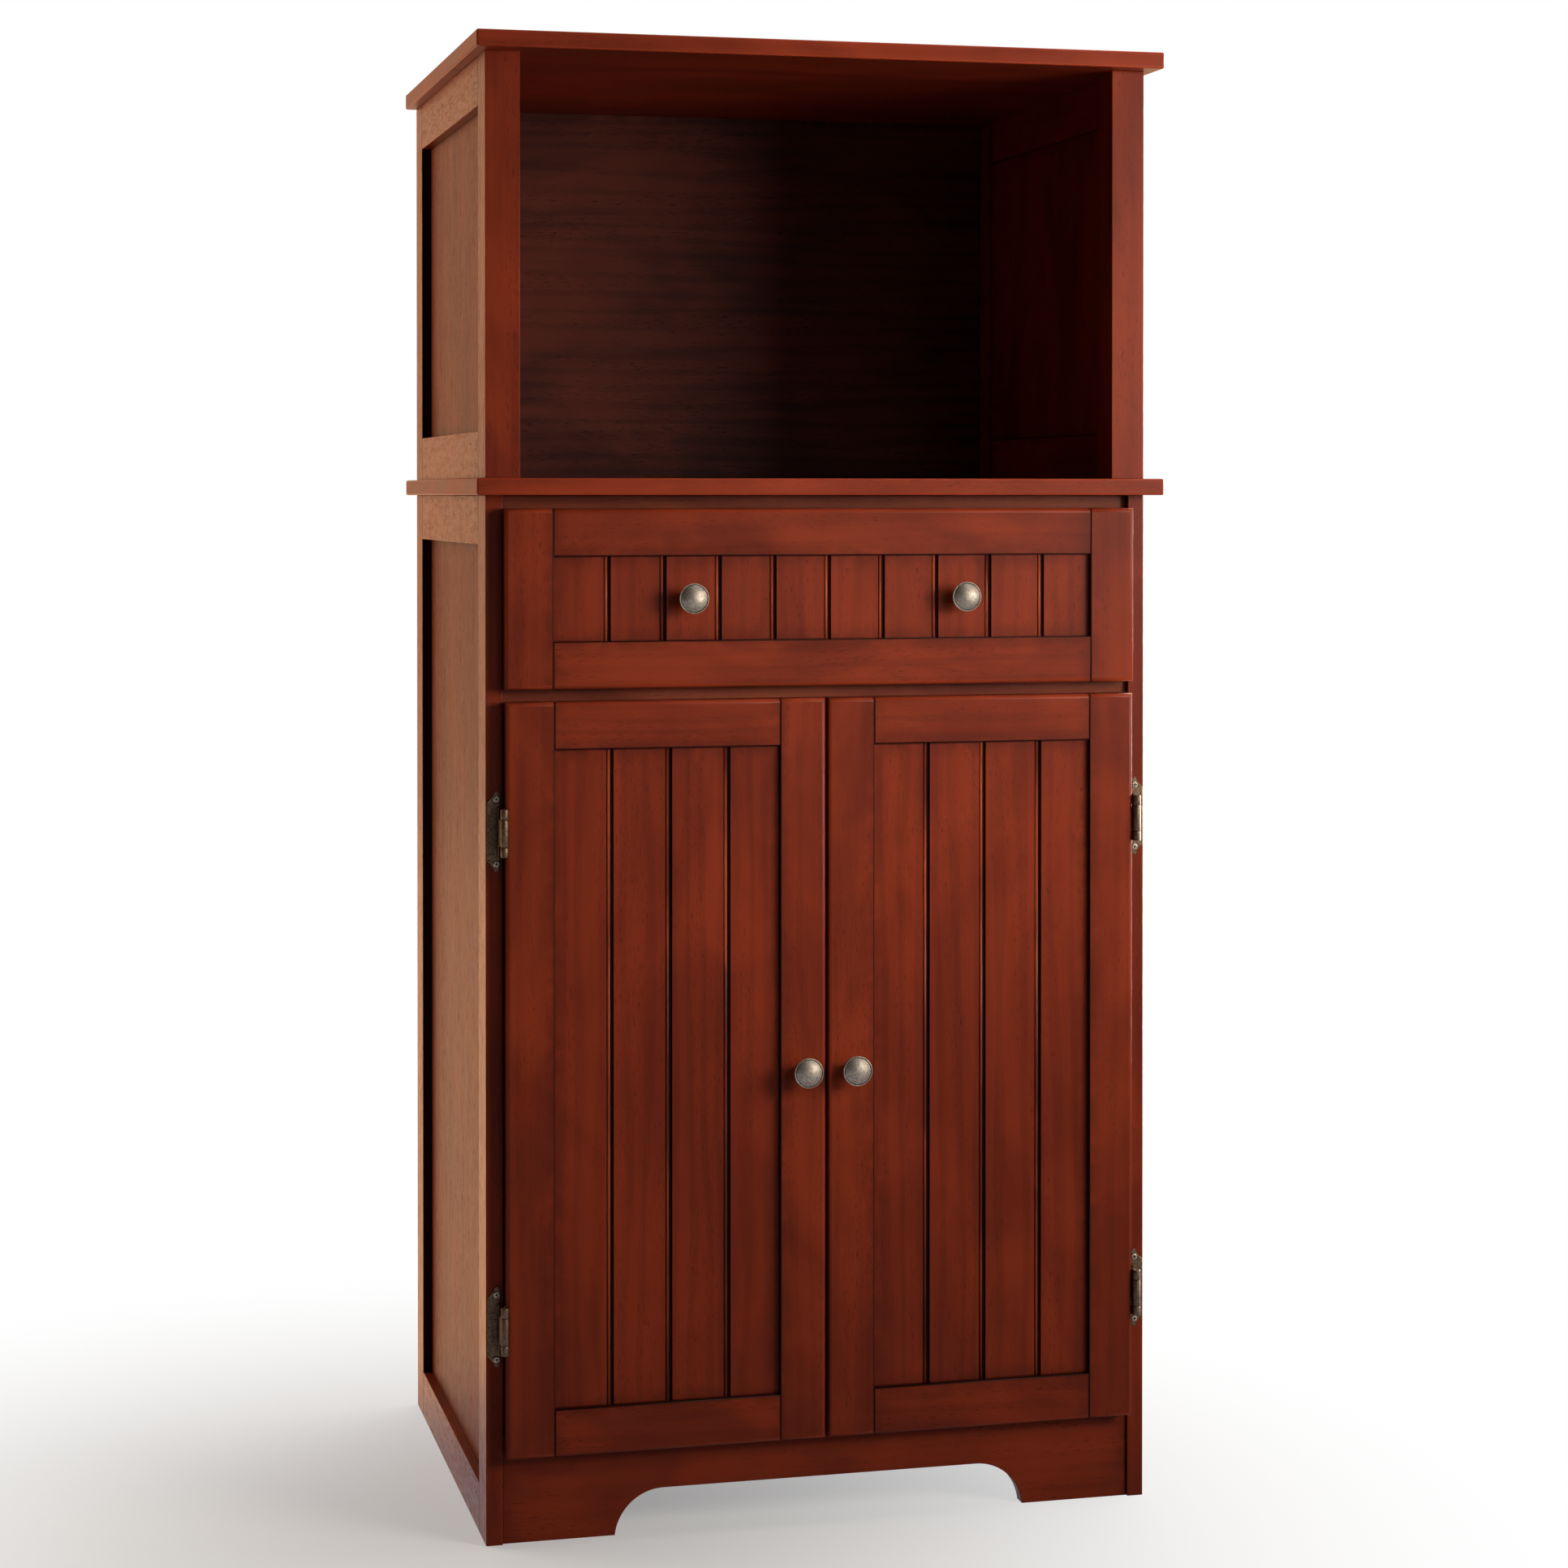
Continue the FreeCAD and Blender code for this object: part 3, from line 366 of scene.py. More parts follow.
class WoodFigure(Effect):
    """Stained wood: uneven stain, fibre streaks, short dark pores, rings and flecks."""

    NAME = "wood_figure"
    TAKES = (("Vector", "NodeSocketVector", None),
             ("Light", "NodeSocketColor", (0.2, 0.05, 0.02)),
             ("Dark", "NodeSocketColor", (0.08, 0.02, 0.01)),
             ("Pores", "NodeSocketFloat", 0.5),
             ("Blotch", "NodeSocketFloat", 0.5),
             ("Rings", "NodeSocketFloat", 0.3))
    GIVES = (("Color", "NodeSocketColor"), ("Pore Mask", "NodeSocketFloat"),
             ("Height", "NodeSocketFloat"), ("Cloud", "NodeSocketFloat"),
             ("Fleck", "NodeSocketFloat"))
    CLOUD_STRETCH = (1.0, 1.0, 0.42)
    FIBRE_STRETCH = (420.0, 420.0, 9.0)
    PORE_STRETCH = (1050.0, 1050.0, 120.0)
    GATHER_STRETCH = (60.0, 60.0, 4.0)
    RING_STRETCH = (1.0, 1.0, 0.09)
    FLECK_STRETCH = (190.0, 190.0, 48.0)
    CLOUD_SCALE = 11.0
    PATCH_SCALE = 42.0
    PATCH_SHARE = 0.55
    FIBRE_SHARE = 0.5
    RING_SHARE = 0.5
    FIBRE_HEIGHT = 0.35
    PORE_TINT = 0.35
    RING_WAVE = {"Scale": 17.0, "Distortion": 9.0, "Detail": 3.0, "Detail Scale": 1.3}

    def wire(self, wiring: Wiring, takes: bpy.types.NodeOutputs) -> dict[str, object]:
        """Wire the figure; the fibres run along Z of the vector.

        Args:
            wiring: The group's wiring.
            takes: The sockets that the group takes.

        Returns:
            The source of each output, by its name.
        """
        at = takes["Vector"]
        long_at = wiring.stretch(at, self.CLOUD_STRETCH)
        cloud = wiring.noise(long_at, self.CLOUD_SCALE, 3.0, 0.55, 0.6)
        patch = wiring.noise(long_at, self.PATCH_SCALE, 2.0, 0.5)
        fibre = wiring.noise(wiring.stretch(at, self.FIBRE_STRETCH), 1.0, 3.0, 0.6)
        pore = wiring.noise(wiring.stretch(at, self.PORE_STRETCH), 1.0, 1.0, 0.5)
        pore = wiring.span(pore, 0.60, 0.72)
        gather = wiring.noise(wiring.stretch(at, self.GATHER_STRETCH), 1.0, 2.0)
        pore = wiring.times(pore, wiring.span(gather, 0.36, 0.62))
        stain = self.wire_stain(wiring, takes, cloud, patch, fibre)
        colour = wiring.mix(stain, takes["Light"], takes["Dark"])
        pore_colour = wiring.add("ShaderNodeVectorMath", operation="SCALE")
        wiring.feed(pore_colour.inputs[0], takes["Dark"])
        pore_colour.inputs["Scale"].default_value = self.PORE_TINT
        colour = wiring.mix(wiring.times(pore, takes["Pores"]), colour, pore_colour.outputs[0])
        height = wiring.minus(wiring.times(fibre, self.FIBRE_HEIGHT), pore)
        fleck = wiring.noise(wiring.stretch(at, self.FLECK_STRETCH), 1.0, 3.0, 0.65)
        return {"Color": colour, "Pore Mask": pore, "Height": height, "Cloud": cloud,
                "Fleck": wiring.span(fleck, 0.40, 0.66)}

    def wire_stain(self, wiring: Wiring, takes: bpy.types.NodeOutputs, cloud: object,
                   patch: object, fibre: object) -> bpy.types.NodeSocket:
        """Wire how dark the stain is, from its clouds, patches, fibres and rings.

        Args:
            wiring: The group's wiring.
            takes: The sockets that the group takes.
            cloud: Large soft noise.
            patch: Smaller noise.
            fibre: Noise drawn out along the fibres.

        Returns:
            The socket with the share of the dark colour.
        """
        rings = wiring.add("ShaderNodeTexWave", wave_type="BANDS", bands_direction="X")
        wiring.feed(rings.inputs["Vector"], wiring.stretch(takes["Vector"], self.RING_STRETCH))
        for name, value in self.RING_WAVE.items():
            wiring.feed(rings.inputs[name], value)
        ring = wiring.times(wiring.span(rings.outputs["Fac"], 0.35, 0.95), takes["Rings"])
        stain = wiring.plus(wiring.span(cloud, 0.34, 0.68),
                            wiring.times(wiring.minus(patch, 0.5), self.PATCH_SHARE))
        stain = wiring.plus(stain, wiring.times(wiring.minus(fibre, 0.5), self.FIBRE_SHARE))
        stain = wiring.times(wiring.minus(1.0, stain), takes["Blotch"])
        return wiring.plus(stain, wiring.times(ring, self.RING_SHARE), clamp=True)


class JointGlaze(Effect):
    """Dark stain along the outline of a board, with painted shade beside its joints."""

    NAME = "joint_glaze"
    TAKES = (("At", "NodeSocketVector", None), ("Half", "NodeSocketVector", None),
             ("Line", "NodeSocketFloat", 0.001), ("Smudge", "NodeSocketFloat", 0.02))
    GIVES = (("Line", "NodeSocketFloat"), ("Smudge", "NodeSocketFloat"))
    LINE_START = 0.2 * MM
    PATCH_SCALE = 55.0
    FAINTEST = 0.25

    def wire(self, wiring: Wiring, takes: bpy.types.NodeOutputs) -> dict[str, object]:
        """Wire the distance to the nearest joint, as a fine dark line and a soft smudge of glaze
        and painted shade.

        Args:
            wiring: The group's wiring.
            takes: The sockets that the group takes.

        Returns:
            The source of each output, by its name.
        """
        inside = wiring.vector("SUBTRACT", takes["Half"], wiring.vector("ABSOLUTE", takes["At"]))
        parts = wiring.split(inside)
        nearest = wiring.math("MINIMUM", parts[0], parts[1])
        line = wiring.minus(1.0, wiring.span(nearest, self.LINE_START, takes["Line"]))
        patch = wiring.noise(takes["At"], self.PATCH_SCALE, 3.0)
        uneven = wiring.span(patch, 0.30, 0.62, self.FAINTEST, 1.0)
        # Soft smudge beside the joints: glaze and painted shade.
        smudge = wiring.minus(1.0, wiring.span(nearest, 0.0, takes["Smudge"]))
        return {"Line": line, "Smudge": wiring.times(smudge, uneven)}


class Patina(Effect):
    """Old metal: brown patina in patches, worn bright places and fine pits."""

    NAME = "patina"
    TAKES = (("Vector", "NodeSocketVector", None),
             ("Bright", "NodeSocketColor", (0.5, 0.45, 0.4)),
             ("Brown", "NodeSocketColor", (0.15, 0.1, 0.06)),
             ("Amount", "NodeSocketFloat", 0.5),
             ("Scale", "NodeSocketFloat", 600.0))
    GIVES = (("Color", "NodeSocketColor"), ("Roughness", "NodeSocketFloat"),
             ("Height", "NodeSocketFloat"))
    SMOOTHEST = 0.38
    ROUGHEST = 0.54
    MIDDLE = 0.46
    PIT_FINENESS = 4.5
    PIT_SHARE = 0.35

    def wire(self, wiring: Wiring, takes: bpy.types.NodeOutputs) -> dict[str, object]:
        """Wire the patches, their roughness and the pits.

        Args:
            wiring: The group's wiring.
            takes: The sockets that the group takes.

        Returns:
            The source of each output, by its name.
        """
        patch = wiring.noise(takes["Vector"], takes["Scale"], 4.0, 0.62)
        fine = wiring.times(takes["Scale"], self.PIT_FINENESS)
        pits = wiring.noise(takes["Vector"], fine, 2.0, 0.5)
        share = wiring.times(wiring.span(patch, 0.36, 0.68), takes["Amount"])
        share = wiring.plus(share, wiring.span(pits, 0.62, 0.74, 0.0, self.PIT_SHARE), clamp=True)
        colour = wiring.mix(share, takes["Bright"], takes["Brown"])
        rough = wiring.span(share, 0.0, 1.0, self.SMOOTHEST, self.ROUGHEST)
        return {"Color": colour, "Roughness": rough, "Height": wiring.minus(1.0, pits)}


class Effects:
    """The shader groups of the scene."""

    def __init__(self) -> None:
        """Build every group once."""
        self.wood = WoodFigure()
        self.glaze = JointGlaze()
        self.patina = Patina()


# ---------------------------------------------------------------- finishes
class Finish:
    """A finish that makes its own material."""

    name: str

    def make(self, effects: Effects) -> bpy.types.Material:
        """Build the material.

        Args:
            effects: The shared shader groups.

        Returns:
            The new material.
        """
        material = bpy.data.materials.new(self.name)
        material.use_nodes = True
        tree = material.node_tree
        self.dress(Wiring(tree), tree.nodes["Principled BSDF"], effects)
        return material

    def dress(self, wiring: Wiring, shader: bpy.types.Node, effects: Effects) -> None:
        """Wire the shader.

        Args:
            wiring: The material's wiring.
            shader: The material's shader.
            effects: The shared shader groups.
        """
        raise NotImplementedError


@dataclass(frozen=True)
class Lacquer(Finish):
    """Satin lacquer over stained wood."""

    name: str
    light: Colour
    dark: Colour
    pores: float = 0.55
    blotch: float = 0.8
    rings: float = 0.3
    line: float = 1.0
    # The smudge darkens the wood beside its joints: glaze and painted shade.
    smudge: float = 0.5
    line_width: float = 1.7 * MM
    smudge_width: float = 16.0 * MM
    roughness: float = 0.33
    gloss: float = 0.11
    bump: float = 0.12
    relief: float = 0.15 * MM
    pore_matt: float = 0.12
    coat: float = 0.0

    SMUDGE_TINT = 0.6
    LINE_TINT = 0.12
    # Eased edges are lightened towards a paler stain: part wear, part painted highlight.
    WORN_TINT = 1.9
    WORN_SHARE = 0.45
    CLOUD_MATT = 0.10
    CLOUD_MATT_LOSS = 0.04
    COAT_IOR = 1.28
    FLECK_BARE = 0.45
    PORE_BARE = 0.6

    def dress(self, wiring: Wiring, shader: bpy.types.Node, effects: Effects) -> None:
        """Wire the wood's figure, dark joints with painted shade, edges lightened by wear and
        painted highlight, sheen and relief.

        Args:
            wiring: The material's wiring.
            shader: The material's shader.
            effects: The shared shader groups.
        """
        figure = effects.wood.place(wiring, Vector=wiring.attribute(GRAIN_LAYER),
                                    Light=self.light, Dark=self.dark, Pores=self.pores,
                                    Blotch=self.blotch, Rings=self.rings)
        glaze = effects.glaze.place(wiring, Line=self.line_width, Smudge=self.smudge_width,
                                    At=wiring.attribute(BOARD_LAYER),
                                    Half=wiring.attribute(HALF_LAYER))
        rub = wiring.attribute(WEAR_HIGHLIGHT_LAYER, "Fac")
        # Darken beside the joints: glaze and painted shade.
        colour = wiring.mix(wiring.times(glaze["Smudge"], self.smudge), figure["Color"],
                            tinted(self.dark, self.SMUDGE_TINT))
        # Lighten the eased edges: worn stain and a painted highlight on the arrises.
        colour = wiring.mix(wiring.times(rub, self.WORN_SHARE), colour,
                            tinted(self.light, self.WORN_TINT))
        colour = wiring.mix(wiring.times(glaze["Line"], self.line), colour,
                            tinted(self.dark, self.LINE_TINT))
        wiring.feed(shader.inputs["Base Color"], colour)
        shader.inputs["Specular IOR Level"].default_value = self.gloss
        rough = wiring.plus(self.roughness - self.CLOUD_MATT_LOSS,
                            wiring.times(figure["Cloud"], self.CLOUD_MATT))
        rough = wiring.plus(rough, wiring.times(figure["Pore Mask"], self.pore_matt))
        wiring.feed(shader.inputs["Roughness"], rough)
        if self.coat:
            self.add_coat(wiring, shader, figure)
        wiring.relief(shader, figure["Height"], self.bump, self.relief)

    def add_coat(self, wiring: Wiring, shader: bpy.types.Node,
                 figure: bpy.types.NodeOutputs) -> None:
        """Add a sheen that flecks and pores break up.

        Args:
            wiring: The material's wiring.
            shader: The material's shader.
            figure: Outputs of the wood's figure.
        """
        shader.inputs["Coat Roughness"].default_value = self.roughness
        shader.inputs["Coat IOR"].default_value = self.COAT_IOR
        bare = wiring.plus(wiring.times(figure["Fleck"], self.FLECK_BARE),
                           wiring.times(figure["Pore Mask"], self.PORE_BARE), clamp=True)
        wiring.feed(shader.inputs["Coat Weight"],
                    wiring.times(wiring.minus(1.0, bare), self.coat))


@dataclass(frozen=True)
class OldMetal(Finish):
    """Antique metal with a brown patina."""

    name: str
    bright: Colour
    brown: Colour
    amount: float = 0.6
    scale: float = 420.0
    bump: float = 0.25
    roughness: float = Patina.MIDDLE

    PIT_DEPTH = 0.05 * MM

    def dress(self, wiring: Wiring, shader: bpy.types.Node, effects: Effects) -> None:
        """Wire the patina and its pits.

        Args:
            wiring: The material's wiring.
            shader: The material's shader.
            effects: The shared shader groups.
        """
        shader.inputs["Metallic"].default_value = 1.0
        at = wiring.add("ShaderNodeTexCoord").outputs["Object"]
        old = effects.patina.place(wiring, Vector=at, Bright=self.bright, Brown=self.brown,
                                   Amount=self.amount, Scale=self.scale)
        wiring.feed(shader.inputs["Base Color"], old["Color"])
        rough = wiring.plus(old["Roughness"], self.roughness - Patina.MIDDLE)
        wiring.feed(shader.inputs["Roughness"], rough)
        wiring.relief(shader, old["Height"], self.bump, self.PIT_DEPTH)


@dataclass(frozen=True)
class Moulding(Finish):
    """Dark moulded plastic with a fine cast texture, also used as painted shade in screw crosses.
    """

    name: str
    colour: Colour

    CAST_SCALE = 1800.0
    CLOUD_SCALE = 60.0
    PALER = 1.5
    PALEST_ADDED = 0.01
    BUMP = 0.2
    CAST_DEPTH = 0.05 * MM

    def dress(self, wiring: Wiring, shader: bpy.types.Node, effects: Effects) -> None:
        """Wire the cast texture; the shared groups aren't needed.

        Args:
            wiring: The material's wiring.
            shader: The material's shader.
            effects: The shared shader groups; not used.
        """
        at = wiring.add("ShaderNodeTexCoord").outputs["Object"]
        cast = wiring.noise(at, self.CAST_SCALE, 2.0)
        cloud = wiring.noise(at, self.CLOUD_SCALE, 2.0)
        paler = tuple(min(1.0, part * self.PALER + self.PALEST_ADDED) for part in self.colour)
        wiring.feed(shader.inputs["Base Color"], wiring.mix(cloud, self.colour, paler))
        wiring.feed(shader.inputs["Roughness"], wiring.span(cast, 0.3, 0.7, 0.42, 0.6))
        wiring.relief(shader, cast, self.BUMP, self.CAST_DEPTH)


class Finishes:
    """Every finish on the cart, as materials."""

    def __init__(self, effects: Effects) -> None:
        """Build the materials.

        Args:
            effects: The shared shader groups.
        """
        sheen = {"gloss": 0.02, "bump": 0.6, "pore_matt": 0.4}
        bare = {"line": 0.0, "smudge": 0.0}
        self.stain = Lacquer("red_stain", tone(152, 58, 31), tone(112, 40, 23)).make(effects)
        self.top = Lacquer("top_stain", tone(166, 64, 36), tone(128, 47, 27)).make(effects)
        # The panel's smudge paints the shade that the frame casts along its edges, with glaze.
        self.panel = Lacquer(
            "panel_stain", tone(149, 56, 30), tone(112, 40, 23), pores=0.6, blotch=0.7, rings=0.5,
            line=0.55, smudge=0.5, line_width=1.6 * MM, smudge_width=18.0 * MM).make(effects)
        # The sides' outer faces get a lighter, tanner copy of the red stain: painted sheen for the
        # glancing reflection on them.
        self.side = Lacquer(
            "side_stain", tone(164, 80, 46), tone(128, 54, 30), pores=0.8, blotch=0.6, rings=0.35,
            line=0.9, smudge=0.3, roughness=0.36, relief=0.22 * MM, coat=0.88,
            **sheen).make(effects)
        self.side_panel = Lacquer(
            "side_panel_stain", tone(146, 68, 38), tone(112, 46, 26), pores=0.85, blotch=0.7,
            rings=0.5, line=0.9, smudge=0.4, roughness=0.40, relief=0.24 * MM, coat=0.48,
            **sheen).make(effects)
        # The grooves' near-black stain is dark glaze and painted shade in the recesses.
        self.groove = Lacquer("groove_stain", tone(66, 25, 21), tone(30, 12, 11), pores=0.3,
                              roughness=0.5, **bare).make(effects)
        # The beads get a lighter stain: rubbed wear and a painted highlight on the raised beads.
        self.bead = Lacquer("bead_stain", tone(186, 84, 50), tone(104, 38, 25), pores=0.6,
                            blotch=1.0, roughness=0.3, **bare).make(effects)
        # The recessed rails get a duller, browner copy of the red stain: painted shade for where
        # they sit behind the fronts.
        self.rail = Lacquer("rail_stain", tone(138, 66, 44), tone(104, 44, 30), pores=0.5,
                            line=0.5, smudge=0.3).make(effects)
        self.back = Lacquer("back_stain", tone(100, 46, 34), tone(62, 27, 22), pores=0.8,
                            rings=0.5, line=0.3, smudge=0.5, roughness=0.5).make(effects)
        self.inner = Lacquer("inner_stain", tone(164, 92, 60), tone(120, 58, 38), pores=0.7,
                             rings=0.4, line=0.5, smudge=0.3, roughness=0.5).make(effects)
        self.knob = OldMetal("knob_pewter", tone(186, 175, 162), tone(98, 86, 73), 0.5, 520.0,
                             0.25, 0.60).make(effects)
        self.knob_step = OldMetal("knob_patina", tone(58, 46, 36), tone(24, 18, 14), 0.6, 520.0,
                                  0.25, 0.70).make(effects)
        self.hinge = OldMetal("hinge_brass", tone(118, 98, 80), tone(70, 52, 40), 0.7, 420.0,
                              0.12, 0.54).make(effects)
        self.screw = OldMetal("screw_brass", tone(204, 190, 172), tone(112, 96, 80), 0.45,
                              600.0).make(effects)
        self.steel = OldMetal("zinc", tone(188, 190, 192), tone(130, 130, 132), 0.4, 500.0,
                              0.1).make(effects)
        # The screws' crosses get a near-black finish: painted shade in the recess.
        self.recess = Moulding("screw_recess", tone(22, 18, 15)).make(effects)
        self.catch = Moulding("catch_moulding", tone(58, 42, 34)).make(effects)


# ---------------------------------------------------------------- meshes
def at(x: float, y: float, z: float) -> Vector:
    """A point."""
    return Vector((x, y, z))


def corners(node: str) -> tuple[Vector, Vector]:
    """Lowest and highest corners of a node at rest."""
    low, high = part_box(node)
    return low.copy(), high.copy()


def verts_in(items: Iterable[object]) -> Verts:
    """Pick the vertices out of what an operator gives back."""
    return [item for item in items if isinstance(item, bmesh.types.BMVert)]


def faces_at(verts: Iterable[bmesh.types.BMVert]) -> list[bmesh.types.BMFace]:
    """Faces that touch any of the vertices, each once and in a fixed order."""
    return list(dict.fromkeys(face for vert in verts for face in vert.link_faces))


def level_with(axis: int, place: float) -> EdgeTest:
    """Make a test for edges whose ends both lie at a place along an axis."""
    return lambda a, b: abs(a[axis] - place) < TOUCH and abs(b[axis] - place) < TOUCH


@dataclass
class Piece:
    """One piece of the cart while its mesh is made."""

    name: str
    body: Body
    slot: Slot
    materials: list[bpy.types.Material]
    replaces: Sequence[str] = ()
    bm: bmesh.types.BMesh = field(default_factory=bmesh.new)

    SHIFT = 4
    AXES = {Grain.UPRIGHT: (0, 1, 2), Grain.ACROSS: (2, 1, 0), Grain.DEEP: (2, 0, 1)}

    def __post_init__(self) -> None:
        """Make the layers that the wood finishes read, and a seed from the piece's name."""
        layers = self.bm.verts.layers
        self.grain_layer = layers.float_vector.new(GRAIN_LAYER)
        self.board_layer = layers.float_vector.new(BOARD_LAYER)
        self.half_layer = layers.float_vector.new(HALF_LAYER)
        self.rub_layer = layers.float.new(WEAR_HIGHLIGHT_LAYER)
        self.chance = random.Random(self.name)

    # -- shapes
    def block(self, low: Vector, high: Vector) -> Verts:
        """Add a box between two corners.

        Args:
            low: The lowest corner.
            high: The highest corner.

        Returns:
            The box's vertices.
        """
        made = bmesh.ops.create_cube(self.bm, size=1.0)["verts"]
        bmesh.ops.scale(self.bm, vec=high - low, verts=made)
        bmesh.ops.translate(self.bm, vec=(high + low) / 2, verts=made)
        return made

    def prism(self, outline: Sequence[Vector], run: Vector) -> Verts:
        """Add a prism: a flat outline pushed along a vector.

        Args:
            outline: The outline's corners in order.
            run: How far and which way it is pushed.

        Returns:
            The prism's vertices.
        """
        start = [self.bm.verts.new(corner) for corner in outline]
        base = self.bm.faces.new(start)
        end = verts_in(bmesh.ops.extrude_face_region(self.bm, geom=[base])["geom"])
        bmesh.ops.translate(self.bm, vec=run, verts=end)
        bmesh.ops.recalc_face_normals(self.bm, faces=faces_at(start + end))
        return start + end

    def turned(self, profile: Sequence[tuple[float, float]], foot: Vector, axis: Vector,
               steps: int) -> Verts:
        """Add a turned shape.

        Args:
            profile: Radius and height of each point of the profile, in metres.
            foot: Where the profile's zero height stands.
            axis: Unit vector along the height.
            steps: Number of facets around.

        Returns:
            The shape's vertices.
        """
        side = axis.orthogonal().normalized()
        points = [self.bm.verts.new(foot + side * radius + axis * height)
                  for radius, height in profile]
        edges = [self.bm.edges.new(pair) for pair in zip(points, points[1:])]
        before = set(self.bm.verts) - set(points)
        bmesh.ops.spin(self.bm, geom=points + edges, cent=foot, axis=axis, angle=2 * math.pi,
                       steps=steps, use_merge=True)
        made = [vert for vert in self.bm.verts if vert not in before]
        bmesh.ops.remove_doubles(self.bm, verts=made, dist=DOUBLE)
        made = [vert for vert in self.bm.verts if vert not in before]
        faces = faces_at(made)
        bmesh.ops.recalc_face_normals(self.bm, faces=faces)
        for face in faces:
            face.smooth = True
        return made

    def ease(self, edges: Iterable[bmesh.types.BMEdge], radius: float, segments: int = 2,
             rub: float = 0.0) -> None:
        """Round edges.

        Args:
            edges: The edges to round.
            radius: How far from the edge the rounding starts.
            segments: Number of steps in the rounding.
            rub: How much the rounding's middle is lightened: worn stain and painted highlight.
        """
        made = bmesh.ops.bevel(self.bm, geom=list(edges), offset=radius, offset_type="OFFSET",
                               segments=segments, profile=0.5, affect="EDGES",
                               clamp_overlap=True, material=-1)
        strip = set(made["faces"])
        for face in strip:
            face.smooth = True
        # Mark the rounding's middle to be lightened: wear and painted highlight.
        if rub:
            for vert in {vert for face in strip for vert in face.verts}:
                if all(face in strip for face in vert.link_faces):
                    vert[self.rub_layer] = rub

    def edges_of(self, verts: Iterable[bmesh.types.BMVert],
                 test: EdgeTest = lambda a, b: True) -> list[bmesh.types.BMEdge]:
        """Find edges among vertices.

        Args:
            verts: The vertices.
            test: Takes an edge's two ends and says whether it is wanted.

        Returns:
            The edges whose ends are both among the vertices and pass the test.
        """
        group = dict.fromkeys(verts)
        edges = dict.fromkeys(edge for vert in group for edge in vert.link_edges
                              if edge.other_vert(vert) in group)
        return [edge for edge in edges if test(edge.verts[0].co, edge.verts[1].co)]

    # -- marks that the finishes read
    def mark(self, before: set, grain: Grain, low: Vector, high: Vector, thin: int) -> None:
        """Write where each new vertex lies on its board.

        Args:
            before: The vertices that were there already.
            grain: Which way the fibres run.
            low: Lowest corner of the area that dark joint stain and painted shade outline.
            high: Its highest corner.
            thin: Index of the axis through the board's thickness.
        """
        order = self.AXES[grain]
        across = [axis for axis in range(3) if axis != thin]
        shift = Vector(self.chance.uniform(-self.SHIFT, self.SHIFT) for _ in range(3))
        middle, half = (low + high) / 2, (high - low) / 2
        for vert in self.bm.verts:
            if vert in before:
                continue
            vert[self.grain_layer] = Vector(vert.co[axis] for axis in order) + shift
            place = vert.co - middle
            vert[self.board_layer] = Vector((*(place[axis] for axis in across), 0.0))
            vert[self.half_layer] = Vector((*(half[axis] for axis in across), FAR_AWAY))

    def board(self, low: Vector, high: Vector, grain: Grain, radius: float = 0.6 * MM,
              segments: int = 2, rub: float = 0.3, free: str = "") -> None:
        """Add a board with eased edges.

        Args:
            low: The lowest corner.
            high: The highest corner.
            grain: Which way the fibres run.
            radius: Radius of the eased edges.
            segments: Number of steps in them.
            rub: How far they are lightened: worn stain and painted highlight.
            free: Sides that meet nothing and stay clear of dark stain and painted shade, such as
                "+x-z".
        """
        before = set(self.bm.verts)
        made = self.block(low, high)
        self.ease(self.edges_of(made), radius, segments, rub)
        self.mark(before, grain, *self.stain_area(low, high, free), self.thinnest(low, high))

    @staticmethod
    def thinnest(low: Vector, high: Vector) -> int:
        """Index of the axis along which a box is thinnest."""
        size = high - low
        return min(range(3), key=lambda axis: size[axis])

    @staticmethod
    def stain_area(low: Vector, high: Vector, free: str) -> tuple[Vector, Vector]:
        """Push the free sides of a box out, so that dark stain and painted shade keep away from
        them.

        Args:
            low: The box's lowest corner.
            high: Its highest corner.
            free: The sides, such as "+x-z".

        Returns:
            The lowest and highest corners of the stained area.
        """
        low, high = low.copy(), high.copy()
        for sign, axis in zip(free[::2], free[1::2]):
            index = "xyz".index(axis)
            if sign == "+":
                high[index] += FAR_AWAY
            else:
                low[index] -= FAR_AWAY
        return low, high

    def finish(self) -> None:
        """Turn the mesh into an object that rides on its body and replaces its nodes."""
        mesh = bpy.data.meshes.new(self.name)
        self.bm.normal_update()
        self.bm.to_mesh(mesh)
        self.bm.free()
        for material in self.materials:
            mesh.materials.append(material)
        piece = bpy.data.objects.new(self.name, mesh)
        bpy.context.scene.collection.objects.link(piece)
        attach(piece, self.body.value)
        if self.replaces:
            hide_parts(*self.replaces)
        log.info("%s: %d faces, on %s", self.name, len(mesh.polygons), self.body.value)


def carcass_board(node: str, slot: Slot, material: bpy.types.Material) -> Piece:
    """Start a piece of the carcass that replaces one node."""
    return Piece(f"{node}_board", Body.CARCASS, slot, [material], [node])


# ---------------------------------------------------------------- carcass
@dataclass
class SlabTop:
    """Worktop or top board, with a softly rounded edge."""

    node: str
    finishes: Finishes
    edge: float = 1.8 * MM
    edge_steps: int = 4
    edge_rub: float = 0.5

    def build(self) -> None:
        """Build the board, rounded on all its edges."""
        piece = carcass_board(self.node, Slot.STAINED_WOOD, self.finishes.top)
        piece.board(*corners(self.node), Grain.ACROSS, self.edge, self.edge_steps, self.edge_rub,
                    "+x-x+y-y")
        piece.finish()


